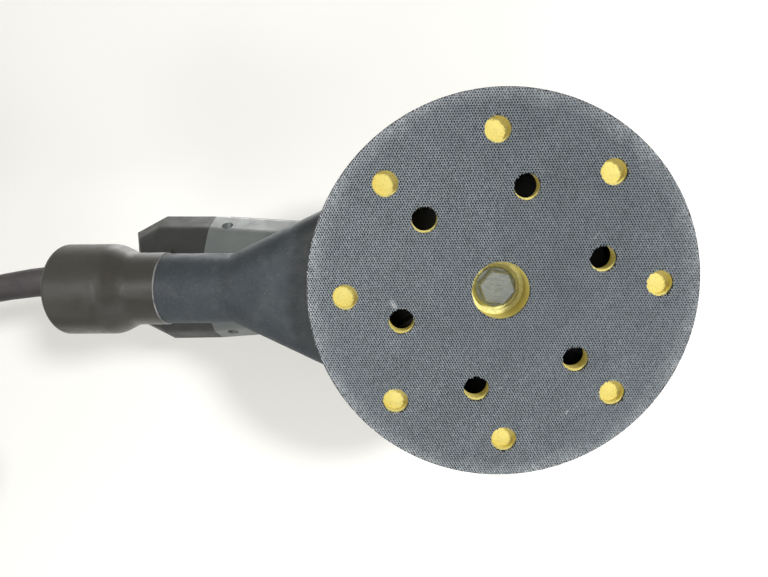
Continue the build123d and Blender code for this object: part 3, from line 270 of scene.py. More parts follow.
def moulded(name, dark, light, roughness, grain_mm, grain_depth, dust=0.0, specular=0.5):
    """Moulded plastic: clouds in its colour, a fine spark-eroded grain and, if asked, specks of dust."""
    finish = Finish(name, roughness, specular=specular)
    fine = finish.noise(grain_mm, 3.0, 0.62)
    tone = finish.ramp(finish.noise(34.0, 4.0, 0.6), (0.32, dark), (0.70, light))
    flecked = finish.ramp(fine, (0.30, FLECK_DARK), (0.72, FLECK_LIGHT))
    colour = finish.blend(1.0, tone, flecked, "MULTIPLY")
    if dust:
        film = finish.span(finish.noise(11.0, 5.0, 0.7), 0.52, 0.80, 0.0, dust * 0.35)
        colour = finish.blend(film, colour, DUST_FILM)
        colour = finish.blend(finish.specks(0.55, 0.22, dust * 1.6), colour, DUST_SPECK)
        colour = finish.blend(finish.specks(1.2, 0.10, dust * 0.5), colour, PALE_DUST_SPECK)
    finish.colour(colour)
    worn = finish.noise(7.0, 5.0, 0.7)
    finish.rough(finish.span(worn, 0.3, 0.75, roughness - SHEEN_MARKS, roughness + SHEEN_MARKS))
    finish.bump(fine, grain_depth, 0.8)
    return finish


def rubber(name, dark, light, roughness=0.62, stipple_mm=0.9, stipple_depth=0.05):
    """Soft rubber with a stippled skin, and painted shade that darkens it away from the middle of each
    stipple dot.
    """
    finish = Finish(name, roughness, specular=0.4)
    clouds = finish.noise(22.0, 5.0, 0.65)
    dots = finish.cells(stipple_mm).outputs["Distance"]
    tone = finish.ramp(clouds, (0.30, dark), (0.74, light))
    # Painted shade across the stipple: darker away from each dot's middle
    shade = finish.span(dots, 0.0, 0.55, 0.0, 0.35)
    finish.colour(finish.blend(shade, tone, dark))
    finish.rough(finish.span(finish.noise(5.0, 4.0), 0.3, 0.7, roughness - 0.1, roughness + 0.14))
    finish.bump(dots, stipple_depth, 0.7)
    return finish


def metal(name, dark, light, roughness, grain=(60, 60, 900), turn=(0, 0, 0), metallic=1.0):
    """Worked metal: fine marks along one way, with duller patches."""
    finish = Finish(name, roughness, metallic=metallic)
    links = {"Vector": finish.moved(turn, grain), "Scale": 5.0, "Detail": 6.0, "Roughness": 0.7}
    marks = finish.node("ShaderNodeTexNoise", links).outputs["Fac"]
    patches = finish.noise(6.0, 4.0, 0.6)
    tone = finish.ramp(marks, (0.25, dark), (0.75, light))
    finish.colour(finish.blend(finish.span(patches, 0.45, 0.8, 0.0, 0.55), tone, dark))
    finish.rough(finish.span(patches, 0.3, 0.75, roughness * 0.7, roughness * 1.5))
    finish.bump(marks, 0.02, 0.5)
    return finish


def laminated(name, dark, light, sheet_mm):
    """A stack of thin punched sheets."""
    finish = Finish(name, 0.42, metallic=1.0)
    waves = finish.math("SINE", finish.times(finish.axis("Z"), 2 * math.pi * MM_PER_METRE / sheet_mm))
    tone = finish.ramp(finish.span(waves, -1.0, 1.0), (0.2, dark), (0.8, light))
    stains = finish.span(finish.noise(9.0, 4.0, 0.6), 0.45, 0.75, 0.0, 0.5)
    finish.colour(finish.blend(stains, tone, CORE_STAIN))
    finish.bump(waves, 0.04, 0.8)
    return finish


def wound_wire(name, dark, light, wire_mm):
    """Enamelled wire laid in close turns."""
    finish = Finish(name, 0.32, metallic=0.85)
    lie = finish.plus(finish.axis("Z"), finish.times(finish.noise(6.0, 2.0), WIRE_WANDER))
    turns = finish.math("SINE", finish.times(lie, 2 * math.pi * MM_PER_METRE / wire_mm))
    finish.colour(finish.ramp(finish.span(turns, -1.0, 1.0), (0.1, dark), (0.85, light)))
    finish.bump(turns, 0.12, 0.9)
    return finish


def foam_rubber(name, dark, light, pore_mm):
    """Moulded foam with open pores, with painted shade darkening each pore towards its middle."""
    finish = Finish(name, 0.78, specular=0.25)
    pores = finish.cells(pore_mm).outputs["Distance"]
    clouds = finish.noise(14.0, 4.0, 0.6)
    tone = finish.ramp(clouds, (0.3, dark), (0.72, light))
    # Painted shade: the pores turn darker yellow towards their middles
    pore_shade = finish.span(pores, 0.05, 0.32, 0.45, 0.0)
    finish.colour(finish.blend(pore_shade, tone, FOAM_PORE_SHADE))
    finish.bump(pores, 0.16, 0.7)
    return finish


# Pad face: each scuff has its X and Y from the pad's axis, its turn, and its half length and half width.
PAD_CENTRE = (0.0, -2.5)
PAD_SCUFFS = (
    (-41.3, 5.2, 1.0, 2.6, 1.5),
    (35.4, -20.6, -0.78, 2.6, 0.22),
    (0.2, 39.0, -0.5, 2.0, 0.25),
    (26.6, 48.8, -0.6, 1.5, 0.7),
    (30.4, 46.6, -0.6, 0.9, 0.5),
)
RIM_RAGGED = 0.016
RIM_START = 0.0765
RIM_END = 0.0850


def hook_finish(name, base, light, worn):
    """The knitted face of the pad: grey yarn, paler and fluffed up at the rim, with a few pale scuffs."""
    finish = Finish(name, 0.82, specular=0.25)
    x = finish.axis("X")
    y = finish.math("SUBTRACT", finish.axis("Y"), PAD_CENTRE[1] * MM)
    radius = finish.math("SQRT", finish.plus(finish.times(x, x), finish.times(y, y)))
    tone = finish.ramp(finish.noise(0.75, 3.0, 0.7), (0.30, base), (0.70, light))
    cloudy = finish.span(finish.noise(17.0, 5.0, 0.62), 0.35, 0.70, 0.0, 0.42)
    tone = finish.blend(cloudy, tone, base)
    ragged = finish.plus(radius, finish.times(finish.noise(16.0, 4.0, 0.6), RIM_RAGGED))
    rim = finish.span(ragged, RIM_START, RIM_END)
    fluff = finish.times(rim, finish.span(finish.noise(1.1, 3.0, 0.7), 0.40, 0.62, 0.10, 1.0))
    tone = finish.blend(fluff, tone, worn)
    for scuff_x, scuff_y, turn, long, wide in PAD_SCUFFS:
        run_x = finish.math("SUBTRACT", x, scuff_x * MM)
        run_y = finish.math("SUBTRACT", y, scuff_y * MM)
        cos, sin = math.cos(turn), math.sin(turn)
        along = finish.plus(finish.times(run_x, cos), finish.times(run_y, sin))
        across = finish.math("SUBTRACT", finish.times(run_y, cos), finish.times(run_x, sin))
        far_along = finish.math("POWER", finish.math("DIVIDE", along, long * MM), 2.0)
        far_across = finish.math("POWER", finish.math("DIVIDE", across, wide * MM), 2.0)
        mark = finish.span(finish.plus(far_along, far_across), 0.2, 1.0, 0.9, 0.0)
        patchy = finish.span(finish.noise(0.9, 3.0, 0.7), 0.4, 0.6)
        tone = finish.blend(finish.times(mark, patchy), tone, PAD_SCUFF)
    finish.colour(tone)
    finish.bump(finish.noise(0.35, 2.0, 0.6), 0.08, 0.6)
    return finish


# The finishes of the pieces: for plastic, the numbers are roughness, and the grain's size and depth.
shell_grey = moulded("shell_grey_plastic", srgb(90, 95, 94), srgb(105, 110, 108), 0.50, 0.55, 0.030)
cap_black = moulded("rear_cap_plastic", srgb(32, 33, 32), srgb(41, 42, 40), 0.58, 0.55, 0.032, specular=0.4)
duct_grey = moulded(
    "duct_plastic", srgb(40, 46, 51), srgb(50, 57, 63), 0.68, 0.50, 0.045, dust=0.20, specular=0.4)
adapter_black = moulded("adapter_plastic", srgb(39, 36, 30), srgb(50, 47, 40), 0.40, 0.70, 0.012)
grip_black = rubber("grip_rubber", srgb(38, 38, 40), srgb(52, 52, 53))
cord_black = rubber("cord_rubber", srgb(34, 33, 34), srgb(47, 46, 46), 0.58, 0.6, 0.02)
guard_black = rubber("guard_rubber", srgb(58, 53, 55), srgb(74, 69, 70), 0.60, 0.5, 0.02)
plug_black = rubber("plug_rubber", srgb(32, 32, 33), srgb(46, 45, 45), 0.55, 0.7, 0.03)
seal_black = rubber("seal_rubber", srgb(30, 30, 31), srgb(44, 43, 43))
zinc = metal("screw_zinc", srgb(142, 144, 148), srgb(214, 216, 220), 0.26)
bolt_steel = metal(
    "bolt_steel", srgb(120, 126, 129), srgb(178, 184, 186), 0.34, (90, 500, 90), (0, 0, 0.5), 0.75)
alloy = metal("cast_alloy", srgb(128, 128, 130), srgb(172, 172, 174), 0.42, grain=(300, 300, 300))
bearing_steel = metal("bearing_steel", srgb(158, 160, 164), srgb(222, 224, 228), 0.16)
nickel = metal("pin_nickel", srgb(168, 164, 154), srgb(224, 220, 210), 0.20, grain=(600, 60, 600))
brass = metal("brush_brass", srgb(150, 112, 52), srgb(206, 168, 92), 0.30)
core_steel = laminated("core_steel", srgb(88, 88, 92), srgb(150, 150, 154), 1.0)
copper = wound_wire("copper_wire", srgb(92, 42, 20), srgb(196, 112, 62), 0.9)
carbon = moulded("brush_carbon", srgb(30, 30, 32), srgb(44, 44, 47), 0.40, 0.40, 0.02)
fan_plastic = moulded("fan_plastic", srgb(26, 27, 29), srgb(40, 41, 43), 0.45, 0.60, 0.02)
board_green = moulded("board_green", srgb(26, 74, 44), srgb(38, 98, 58), 0.35, 0.50, 0.01)
plate_yellow = moulded("plate_yellow", srgb(248, 240, 160), srgb(252, 246, 184), 0.45, 1.2, 0.012)
foam_yellow = foam_rubber("foam_yellow", srgb(222, 204, 110), srgb(230, 218, 136), 0.9)
strap_fabric = rubber("strap_fabric", srgb(30, 31, 34), srgb(50, 51, 55), 0.85, 0.55, 0.12)
hook_yarn = hook_finish("hook_yarn", srgb(140, 147, 152), srgb(191, 198, 203), srgb(222, 225, 227))
hook_backing = hook_finish("hook_backing", srgb(36, 37, 41), srgb(58, 60, 65), srgb(120, 122, 124))
mark_white = moulded("mark_white", srgb(206, 206, 202), srgb(224, 224, 220), 0.55, 0.6, 0.01)

# The chamfer at the adapter's neck, and the pale colour of the highlight painted along it
NECK_EDGE = (-143.95, -143.3)
NECK_EDGE_HIGHLIGHT = srgb(150, 151, 152)


def painted_edge_highlight(finish, from_x, to_x, pale):
    """Painted highlight: a thin edge across the X axis, lightened to the given pale colour here and there."""
    plain = finish.shader.inputs["Base Color"].links[0].from_socket
    along = finish.axis("X")
    beyond = finish.math("GREATER_THAN", along, from_x * MM)
    edge = finish.times(beyond, finish.math("LESS_THAN", along, to_x * MM))
    # Painted highlight: the chamfer band, lighter in patches
    highlight_share = finish.times(edge, finish.span(finish.noise(9.0, 3.0, 0.6), 0.35, 0.60, 0.25, 0.85))
    finish.colour(finish.blend(highlight_share, plain, pale))


# Painted highlight along the chamfer at the adapter's neck
painted_edge_highlight(adapter_black, *NECK_EDGE, NECK_EDGE_HIGHLIGHT)

SLOT_FINISHES = {
    "shell_grey": shell_grey,
    "cap_black": cap_black,
    "grip_rubber": grip_black,
    "duct_plastic": duct_grey,
    "adapter_black": adapter_black,
    "seal_rubber": seal_black,
    "cast_alloy": alloy,
    "screw_zinc": zinc,
    "core_steel": core_steel,
    "bearing_steel": bearing_steel,
    "copper_wire": copper,
    "brass": brass,
    "carbon": carbon,
    "board_green": board_green,
    "fan_plastic": fan_plastic,
    "cord_rubber": cord_black,
    "plug_rubber": plug_black,
    "pin_nickel": nickel,
    "tie_fabric": strap_fabric,
    "plate_yellow": plate_yellow,
    "foam_yellow": foam_yellow,
    "hook_mesh": hook_yarn,
}


def dress_nodes():
    """Every solid gets the finish of its slot."""
    for row in frame["record"]["subparts"]:
        finish = SLOT_FINISHES[row["material_slot"]].material
        for slot in nodes[row["node"]].material_slots:
            slot.material = finish
    for slot in nodes["pad_bolt"].material_slots:
        slot.material = bolt_steel.material


dress_nodes()


# Cord: from the guard's tip down to the floor and into its coil, in millimetres
CORD_DIAMETER = 7.2
CORD_ROUTE = (
    (-264.0, 6.0, 72.6),
    (-279.0, 9.3, 69.7),
    (-293.0, 12.9, 62.0),
    (-305.2, 17.2, 50.2),
    (-316.6, 22.0, 36.2),
    (-327.4, 27.3, 22.6),
    (-337.0, 35.8, 12.4),
    (-343.6, 48.9, 6.6),
    (-346.2, 65.2, 5.2),
    (-346.2, 79.0, 5.2),
)
COIL_CENTRE = (-286.75, 86.2)
COIL_START_RADIUS = 59.45
COIL_INNER_RADIUS = 29.0
COIL_PITCH = 8.7
COIL_TURNS = 4
COIL_CLIMB_TURNS = 0.5
COIL_LOW_Z = 5.2
COIL_STEPS = 16
COIL_TAIL_END_Y = 113.0
CORD_SIDE_STEPS = 4
CORD_RUN_STEPS = 6
CORD_SPLINE_ORDER = 3


def coil_place(turns):
    """Inwards on the floor, up in the last half turn, and out again on top.

    The cord runs a little inside these places, so they lie on a slightly fuller circle.
    """
    if turns < COIL_TURNS:
        radius = max(COIL_START_RADIUS - COIL_PITCH * turns, COIL_INNER_RADIUS)
        share = max(0.0, (turns - COIL_TURNS + COIL_CLIMB_TURNS) / COIL_CLIMB_TURNS)
        climb = share * share * (3 - 2 * share)
    else:
        radius = COIL_INNER_RADIUS + COIL_PITCH * (turns - COIL_TURNS)
        climb = 1.0
    fuller = radius / (0.75 + 0.25 * math.cos(2 * math.pi / COIL_STEPS))
    angle = math.pi - 2 * math.pi * turns
    x = COIL_CENTRE[0] + fuller * math.cos(angle)
    y = COIL_CENTRE[1] + fuller * math.sin(angle)
    return (x, y, COIL_LOW_Z + COIL_PITCH * climb)


def mains_cord():
    points = list(CORD_ROUTE)
    last_step = 2 * COIL_TURNS * COIL_STEPS
    points += [coil_place(step / COIL_STEPS) for step in range(1, last_step + 1)]
    end_x, end_y, end_z = points[-1]
    points += [(end_x, (end_y + COIL_TAIL_END_Y) / 2, end_z), (end_x, COIL_TAIL_END_Y, end_z)]
    line = bpy.data.curves.new("mains_cord", "CURVE")
    line.dimensions = "3D"
    line.bevel_depth = CORD_DIAMETER / 2 * MM
    line.bevel_resolution = CORD_SIDE_STEPS
    line.resolution_u = CORD_RUN_STEPS
    line.use_fill_caps = True
    spline = line.splines.new("NURBS")
    spline.points.add(len(points) - 1)
    for point, place in zip(spline.points, points):
        point.co = (*[value * MM for value in place], 1.0)
    spline.order_u = CORD_SPLINE_ORDER
    spline.use_endpoint_u = True
    piece = bpy.data.objects.new("mains_cord", line)
    bpy.context.collection.objects.link(piece)
    return keep(piece, "body", cord_black.material, ("cord", "cord_coil"))


# Strap on the coil: its box in millimetres, the rest in metres
STRAP_LOW = (-263.9, 79.2, 0.25)
STRAP_HIGH = (-222.0, 93.2, 18.3)
STRAP_ROUND = 0.0042
STRAP_THICKNESS = 0.0010
FLAP_LENGTH = 0.022
FLAP_SHIFT = 0.004
FLAP_RISE = 0.0006
FLAP_ROUND = 0.004


def coil_strap():
    """A hook-and-loop strap round all the turns, its end laid over on top."""
    low = Vector(STRAP_LOW) * MM
    high = Vector(STRAP_HIGH) * MM
    bpy.ops.mesh.primitive_cube_add(size=1.0, location=(low + high) / 2)
    strap = named("coil_strap")
    strap.scale = high - low
    settle(strap)
    form = edit(strap)
    ends = [face for face in form.faces if abs(face.normal.y) > 0.9]
    bmesh.ops.delete(form, geom=ends, context="FACES")
    bpy.ops.mesh.select_all(action="SELECT")
    bpy.ops.mesh.bevel(offset=STRAP_ROUND, segments=5, affect="EDGES")
    done(strap)
    flap = strap_flap(low, high)
    strap = join([strap, flap], "coil_strap")
    outwards(strap)
    wall = strap.modifiers.new("wall", "SOLIDIFY")
    wall.thickness = STRAP_THICKNESS
    wall.offset = -1.0
    apply_all(strap)
    smooth(strap, 40.0)
    return keep(strap, "body", strap_fabric.material, ("cord_tie",))


def strap_flap(low, high):
    """The strap's free end, with round corners, a little above the turns below it."""
    middle = Vector(((low.x + high.x) / 2 + FLAP_SHIFT, (low.y + high.y) / 2, high.z + FLAP_RISE))
    bpy.ops.mesh.primitive_plane_add(size=1.0, location=middle)
    flap = named("strap_flap")
    flap.scale = (FLAP_LENGTH, high.y - low.y, 1.0)
    settle(flap)
    form = edit(flap)
    bpy.ops.mesh.select_all(action="DESELECT")
    for corner in form.verts:
        corner.select = corner.co.x < middle.x
    form.select_flush(True)
    bpy.ops.mesh.bevel(offset=FLAP_ROUND, segments=4, affect="VERTICES")
    done(flap)
    return flap


# Cord guard: a tapered sleeve with flattened sides and a bead at its tip
GUARD_PATH = (
    (-172.4, 0.0, 78.0),
    (-181.3, 0.0, 78.0),
    (-186.0, 0.0, 78.0),
    (-196.0, 0.1, 77.9),
    (-210.0, 0.3, 77.6),
    (-224.0, 0.8, 77.0),
    (-238.0, 1.8, 76.0),
    (-251.0, 3.6, 74.6),
    (-260.0, 5.2, 73.2),
    (-264.0, 6.0, 72.6),
)
GUARD_ROOT_RADIUS = 9.5
GUARD_TIP_RADIUS = 7.0
GUARD_SIDES = 40
GUARD_ROUNDNESS = 2.0
GUARD_SQUARENESS = 2.7
GUARD_ROUND_X = -184.0
GUARD_SQUARE_X = -198.0
# The bead: how far back from the tip, and how much wider than the sleeve
GUARD_BEAD = ((3.4, 0.0), (2.9, 0.45), (1.0, 0.45), (0.3, 0.1), (0.0, -0.6), (0.0, -2.3))


def guard_radius(x):
    share = (GUARD_PATH[1][0] - x) / (GUARD_PATH[1][0] - GUARD_PATH[-1][0])
    return GUARD_ROOT_RADIUS + (GUARD_TIP_RADIUS - GUARD_ROOT_RADIUS) * min(max(share, 0.0), 1.0)


def guard_squareness(x):
    """Round where the sleeve passes through the cap's wall, and flattened further out."""
    share = (GUARD_ROUND_X - x) / (GUARD_ROUND_X - GUARD_SQUARE_X)
    return GUARD_ROUNDNESS + (GUARD_SQUARENESS - GUARD_ROUNDNESS) * min(max(share, 0.0), 1.0)


def guard_stations():
    """Centres, headings and radii along the sleeve, with its bead and the step into the cord."""
    path = [Vector(point) for point in GUARD_PATH]
    stations = []
    for index, point in enumerate(path):
        ahead = path[min(index + 1, len(path) - 1)]
        behind = path[max(index - 1, 0)]
        stations.append((point, (ahead - behind).normalized(), guard_radius(point.x)))
    tip, heading, radius = stations.pop()
    for back, wider in GUARD_BEAD:
        stations.append((tip - heading * back, heading, radius + wider))
    return stations


def cord_sleeve():
    stations = guard_stations()
    bpy.ops.mesh.primitive_circle_add(vertices=GUARD_SIDES, radius=1.0, fill_type="NOTHING")
    sleeve = named("cord_sleeve")
    form = edit(sleeve)
    unit = [vertex.co.copy() for vertex in form.verts]
    bpy.ops.mesh.select_all(action="SELECT")
    for index, (centre, heading, radius) in enumerate(stations):
        if index:
            bpy.ops.mesh.extrude_region()
        form = bmesh.from_edit_mesh(sleeve.data)
        form.verts.ensure_lookup_table()
        ring = form.verts[-GUARD_SIDES:]
        side = Vector((0, 1, 0)).cross(heading).normalized()
        up = heading.cross(side)
        power = guard_squareness(centre.x)
        for vertex, spot in zip(ring, unit):
            stretch = (abs(spot.x) ** power + abs(spot.y) ** power) ** (-1 / power)
            vertex.co = (centre + (side * spot.x + up * spot.y) * stretch * radius) * MM
        bmesh.update_edit_mesh(sleeve.data)
    done(sleeve)
    outwards(sleeve)
    smooth(sleeve, 50.0)
    return keep(sleeve, "body", guard_black.material, ("cord_guard",))


# Pad face: a backing sheet with a knitted net of yarn over it
NET_PITCH = 1.02
NET_ROW = 0.93
NET_SWING = 0.36
NET_HALF_WIDTH = 0.42
NET_RIDGE_Z = 0.03
NET_FOOT_Z = 0.86
NET_FRAY = 0.05
NET_TIP_Z = 0.4
NET_TIP_WEAR = 0.16
NET_SEED = 7
SHEET_FRONT_Z = 0.5
SHEET_FACE_Z = 0.72
PAD_RADIUS = 75.0
NET_RADIUS = 74.6
HOLE_RINGS = ((8, 60.0, -2.2), (6, 40.0, 12.8))
HOLE_RADIUS = 5.0
CENTRE_HOLE_RADIUS = 11.15


def hole_spots():
    spots = [(PAD_CENTRE[0], PAD_CENTRE[1], CENTRE_HOLE_RADIUS)]
    for count, circle, turn in HOLE_RINGS:
        for index in range(count):
            angle = math.radians(turn + 360.0 * index / count)
            x = PAD_CENTRE[0] + circle * math.sin(angle)
            y = PAD_CENTRE[1] - circle * math.cos(angle)
            spots.append((x, y, HOLE_RADIUS))
    return spots


def on_pad(x, y, spots):
    if math.hypot(x - PAD_CENTRE[0], y - PAD_CENTRE[1]) > NET_RADIUS:
        return False
    return all(math.hypot(x - spot_x, y - spot_y) > radius for spot_x, spot_y, radius in spots)


def yarn_net():
    """One stitch is shaped, repeated over the pad, trimmed to its outline and roughed up a little."""
    bpy.ops.mesh.primitive_grid_add(x_subdivisions=2, y_subdivisions=2, size=1.0)
    net = named("yarn_net")
    form = edit(net)
    for vertex in form.verts:
        column = round(vertex.co.x * 2)
        row = round(vertex.co.y * 2)
        swing = NET_SWING if column == 0 else -NET_SWING
        height = NET_RIDGE_Z if row == 0 else NET_FOOT_Z
        vertex.co = Vector((column * NET_PITCH / 2, row * NET_HALF_WIDTH + swing, height)) * MM
    bpy.ops.mesh.select_all(action="SELECT")
    bpy.ops.mesh.duplicate()
    bpy.ops.transform.translate(value=(NET_PITCH / 2 * MM, NET_ROW * MM, 0))
    bpy.ops.mesh.select_all(action="SELECT")
    bpy.ops.mesh.flip_normals()
    across = 2 * int(PAD_RADIUS / NET_PITCH) + 2
    rows = int(PAD_RADIUS / NET_ROW) + 1
    start_x = PAD_CENTRE[0] - across * NET_PITCH / 2
    start_y = PAD_CENTRE[1] - rows * NET_ROW
    bpy.ops.transform.translate(value=(start_x * MM, start_y * MM, 0))
    done(net)
    for axis, count, step in ((0, across, NET_PITCH), (1, rows, 2 * NET_ROW)):
        repeat = net.modifiers.new("repeat", "ARRAY")
        repeat.use_relative_offset = False
        repeat.use_constant_offset = True
        offset = [0.0, 0.0, 0.0]
        offset[axis] = step * MM
        repeat.constant_offset_displace = offset
        repeat.count = count
    apply_all(net)
    trim_net(net)
    smooth(net, 60.0)
    return keep(net, "pad", hook_yarn.material)


def trim_net(net):
    spots = hole_spots()
    form = edit(net)
    outside = []
    for face in form.faces:
        middle = face.calc_center_median() / MM
        if not on_pad(middle.x, middle.y, spots):
            outside.append(face)
    bmesh.ops.delete(form, geom=outside, context="FACES")
    bmesh.ops.remove_doubles(form, verts=form.verts, dist=MERGE_DISTANCE)
    draw = random.Random(NET_SEED)
    for vertex in form.verts:
        vertex.co.x += draw.uniform(-NET_FRAY, NET_FRAY) * MM
        vertex.co.y += draw.uniform(-NET_FRAY, NET_FRAY) * MM
        if vertex.co.z < NET_TIP_Z * MM:
            vertex.co.z += draw.uniform(0.0, NET_TIP_WEAR) * MM
    done(net)


def hook_sheet():
    """The net's backing, cut from the solid of the pad's face and made thinner to leave room for the yarn."""
    deselect_all()
    sheet = nodes["pad_hooks"].copy()
    sheet.data = nodes["pad_hooks"].data.copy()
    bpy.context.collection.objects.link(sheet)
    take(sheet)
    sheet = named("hook_sheet")
    sheet.parent = None
    outwards(sheet)
    form = edit(sheet)
    for vertex in form.verts:
        if vertex.co.z < SHEET_FRONT_Z * MM:
            vertex.co.z = SHEET_FACE_Z * MM
    done(sheet)
    smooth(sheet, 30.0)
    return keep(sheet, "pad", hook_backing.material, ("pad_hooks",))


# Top grip: a soft dome with finger grooves, turned from its outline
GRIP_RADIUS = 43.0
GRIP_INNER_RADIUS = 40.05
GRIP_LOW_Z = 134.0
GRIP_TOP_Z = 158.0
GRIP_ROUND = 16.0
GRIP_RIM_ROUND = 0.6
GRIP_RIM_STRAIGHT = 4.0
GRIP_GROOVES = (12.0, 29.0, 46.0, 63.0)
GROOVE_HALF_ANGLE = 4.2
GROOVE_DEPTH = 0.9
GRIP_STEPS = 144
QUARTER_TURN = 90
# The crown: radius, and how far below the top
GRIP_CROWN = ((21.0, 0.0), (20.4, 0.5), (19.6, 0.7), (8.0, 0.7), (0.0, 0.7))


def grip_outline():
    """Radius and height from the inside of the rim, over the dome, to the axis."""
    outline = [
        (GRIP_INNER_RADIUS, GRIP_LOW_Z),
        (GRIP_RADIUS - GRIP_RIM_ROUND, GRIP_LOW_Z),
        (GRIP_RADIUS, GRIP_LOW_Z + GRIP_RIM_ROUND),
        (GRIP_RADIUS, GRIP_LOW_Z + GRIP_RIM_STRAIGHT),
        (GRIP_RADIUS, GRIP_TOP_Z - GRIP_ROUND),
    ]
    for angle in range(1, QUARTER_TURN + 1):
        near = min(abs(angle - groove) for groove in GRIP_GROOVES)
        dip = 0.5 + 0.5 * math.cos(math.pi * min(near / GROOVE_HALF_ANGLE, 1.0))
        reach = GRIP_ROUND - GROOVE_DEPTH * dip
        turn = math.radians(angle)
        radius = GRIP_RADIUS - GRIP_ROUND + reach * math.cos(turn)
        height = GRIP_TOP_Z - GRIP_ROUND + reach * math.sin(turn)
        outline.append((radius, height))
    outline += [(radius, GRIP_TOP_Z - drop) for radius, drop in GRIP_CROWN]
    return outline


def grip_dome():
    outline = grip_outline()
    bpy.ops.mesh.primitive_plane_add(size=0.01)
    dome = named("grip_dome")
    form = edit(dome)
    bmesh.ops.delete(form, geom=list(form.verts), context="VERTS")
    spots = [form.verts.new((radius * MM, 0, height * MM)) for radius, height in outline]
    for first, second in zip(spots, spots[1:]):
        form.edges.new((first, second))
    bmesh.update_edit_mesh(dome.data)
    bpy.ops.mesh.select_all(action="SELECT")
    bpy.ops.mesh.spin(steps=GRIP_STEPS, angle=2 * math.pi, center=(0, 0, 0), axis=(0, 0, 1))
    done(dome)
    outwards(dome)
    smooth(dome, 40.0)
    return keep(dome, "body", grip_black.material, ("top_grip",))


# Speed dial: its numbers, moulded on the rim between the notches
DIAL_CENTRE = (-156.0, 0.0, 94.0)
DIAL_RIM_RADIUS = 10.5
DIAL_NUMBERS = 6
DIAL_STEP_DEGREES = 54.0
NUMBER_HEIGHT = 3.4
NUMBER_RISE = 0.25


def dial_numbers():
    pieces = []
    for index in range(DIAL_NUMBERS):
        deselect_all()
        bpy.ops.object.text_add()
        text = bpy.context.active_object
        text.data.body = str(index + 1)
        text.data.size = NUMBER_HEIGHT * MM
        text.data.extrude = NUMBER_RISE * MM
        text.data.align_x = "CENTER"
        text.data.align_y = "CENTER"
        bpy.ops.object.convert(target="MESH")
        number = named("dial_number")
        facing = Matrix.Rotation(math.radians(-90.0), 4, "Z")
        lift = Matrix.Translation((0, 0, DIAL_RIM_RADIUS * MM))
        turn = Matrix.Rotation(math.radians(DIAL_STEP_DEGREES * index), 4, "Y")
        centre = Matrix.Translation(Vector(DIAL_CENTRE) * MM)
        number.data.transform(centre @ turn @ lift @ facing)
        pieces.append(number)
    numbers = join(pieces, "dial_numbers")
    return keep(numbers, "dial", mark_white.material)


# Stage: a pale floor under the sander, and a pale sheet behind it for the view from below
FLOOR_Z = -0.0008
FLOOR_SIZE = 60.0
SHEET_Z = 0.165
SHEET_SIZE = 6.0
STAGE_WHITE = srgb(238, 237, 233)
PAPER_GLOW = 0.20


def stage_paper(name):
    """Paper that only a look at its front shows: it lets light and looks from behind through."""
    paper = bpy.data.materials.new(name)
    paper.use_nodes = True
    tree = paper.node_tree
    tree.nodes.clear()
    lit = add_node(tree, "ShaderNodeBsdfDiffuse", {"Color": STAGE_WHITE})
    glow = add_node(tree, "ShaderNodeEmission", {"Color": STAGE_WHITE, "Strength": PAPER_GLOW})
    front = add_node(tree, "ShaderNodeAddShader", {0: lit.outputs[0], 1: glow.outputs[0]})
    through = add_node(tree, "ShaderNodeBsdfTransparent")
    rays = add_node(tree, "ShaderNodeLightPath").outputs
    looked = either(tree, rays["Is Camera Ray"], rays["Is Glossy Ray"])
    looked = either(tree, looked, rays["Is Transmission Ray"])
    behind = add_node(tree, "ShaderNodeNewGeometry").outputs["Backfacing"]
    links = {0: looked, 1: behind}
    shown = add_node(tree, "ShaderNodeMath", links, operation="SUBTRACT", use_clamp=True)
    links = {0: shown.outputs[0], 1: through.outputs[0], 2: front.outputs[0]}
    mix = add_node(tree, "ShaderNodeMixShader", links)
    add_node(tree, "ShaderNodeOutputMaterial", {0: mix.outputs[0]})
    return paper


def build_stage():
    paper = stage_paper("stage_paper")
    deselect_all()
    bpy.ops.mesh.primitive_plane_add(size=FLOOR_SIZE, location=(0, 0, FLOOR_Z))
    floor = named("floor")
    floor.data.materials.append(paper)
    deselect_all()
    bpy.ops.mesh.primitive_plane_add(size=SHEET_SIZE, location=(0, 0, SHEET_Z), rotation=(math.pi, 0, 0))
    sheet = named("paper_sheet")
    sheet.data.materials.append(paper)


def lamp(name, place, aim, size, watts):
    light = bpy.data.lights.new(name, "AREA")
    light.shape = "DISK"
    light.size = size
    light.energy = watts
    holder = bpy.data.objects.new(name, light)
    bpy.context.collection.objects.link(holder)
    holder.location = place
    heading = Vector(aim) - Vector(place)
    holder.rotation_euler = heading.to_track_quat("-Z", "Y").to_euler()
    holder.visible_camera = False
    return holder


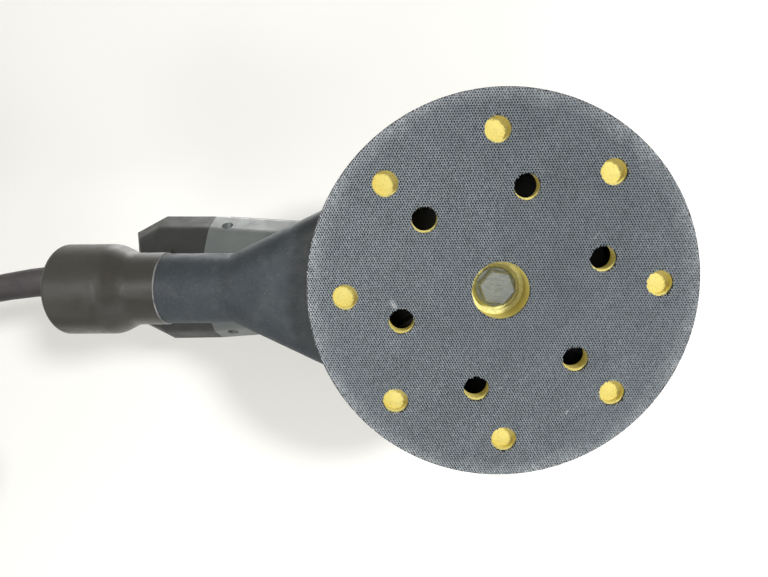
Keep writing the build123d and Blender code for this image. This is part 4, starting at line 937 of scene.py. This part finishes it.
# Light: a soft surround that is brighter on the window's side, and lamps by name, place, aim, size and watts
AMBIENT = 0.46
BACKDROP = 0.78
AMBIENT_LEAN = (-0.50, -0.30, 0.0)
LAMPS = (
    ("key_below", (0.36, -0.24, -0.65), (-0.05, 0.0, 0.03), 0.12, 5.4),
    ("glint_below", (-0.30, -0.07, -0.65), (-0.17, 0.0, 0.03), 0.42, 4.2),
    ("bounce_below", (-0.10, 0.62, -0.42), (-0.10, 0.0, 0.04), 0.5, 3.2),
    ("key_above", (-0.45, -0.85, 1.05), (-0.08, 0.0, 0.06), 0.5, 11.0),
    ("fill_above", (0.75, 0.75, 0.8), (-0.08, 0.0, 0.06), 0.9, 5.0),
)


def build_light():
    """The surround and the lamps: the lower key gives no gloss, and the glint gives nothing else."""
    world = bpy.data.worlds.new("studio")
    bpy.context.scene.world = world
    world.use_nodes = True
    tree = world.node_tree
    rays = add_node(tree, "ShaderNodeLightPath").outputs
    seen = either(tree, rays["Is Camera Ray"], rays["Is Transmission Ray"])
    heading = add_node(tree, "ShaderNodeTexCoord").outputs["Generated"]
    lean = add_node(tree, "ShaderNodeVectorMath", {0: heading, 1: AMBIENT_LEAN}, operation="DOT_PRODUCT")
    links = {0: lean.outputs["Value"], 1: AMBIENT, 2: AMBIENT}
    window_side = add_node(tree, "ShaderNodeMath", links, operation="MULTIPLY_ADD")
    links = {"Value": seen, "To Min": window_side.outputs[0], "To Max": BACKDROP}
    strength = add_node(tree, "ShaderNodeMapRange", links)
    background = tree.nodes["Background"]
    feed(tree, background.inputs["Color"], STAGE_WHITE)
    feed(tree, background.inputs["Strength"], strength.outputs[0])
    lamps = {row[0]: lamp(*row) for row in LAMPS}
    lamps["key_below"].visible_glossy = False
    lamps["glint_below"].visible_diffuse = False


cord_piece = mains_cord()
strap_piece = coil_strap()
for build_piece in (cord_sleeve, hook_sheet, yarn_net, grip_dome, dial_numbers):
    build_piece()
build_stage()
build_light()
bpy.context.scene.view_settings.view_transform = "Standard"
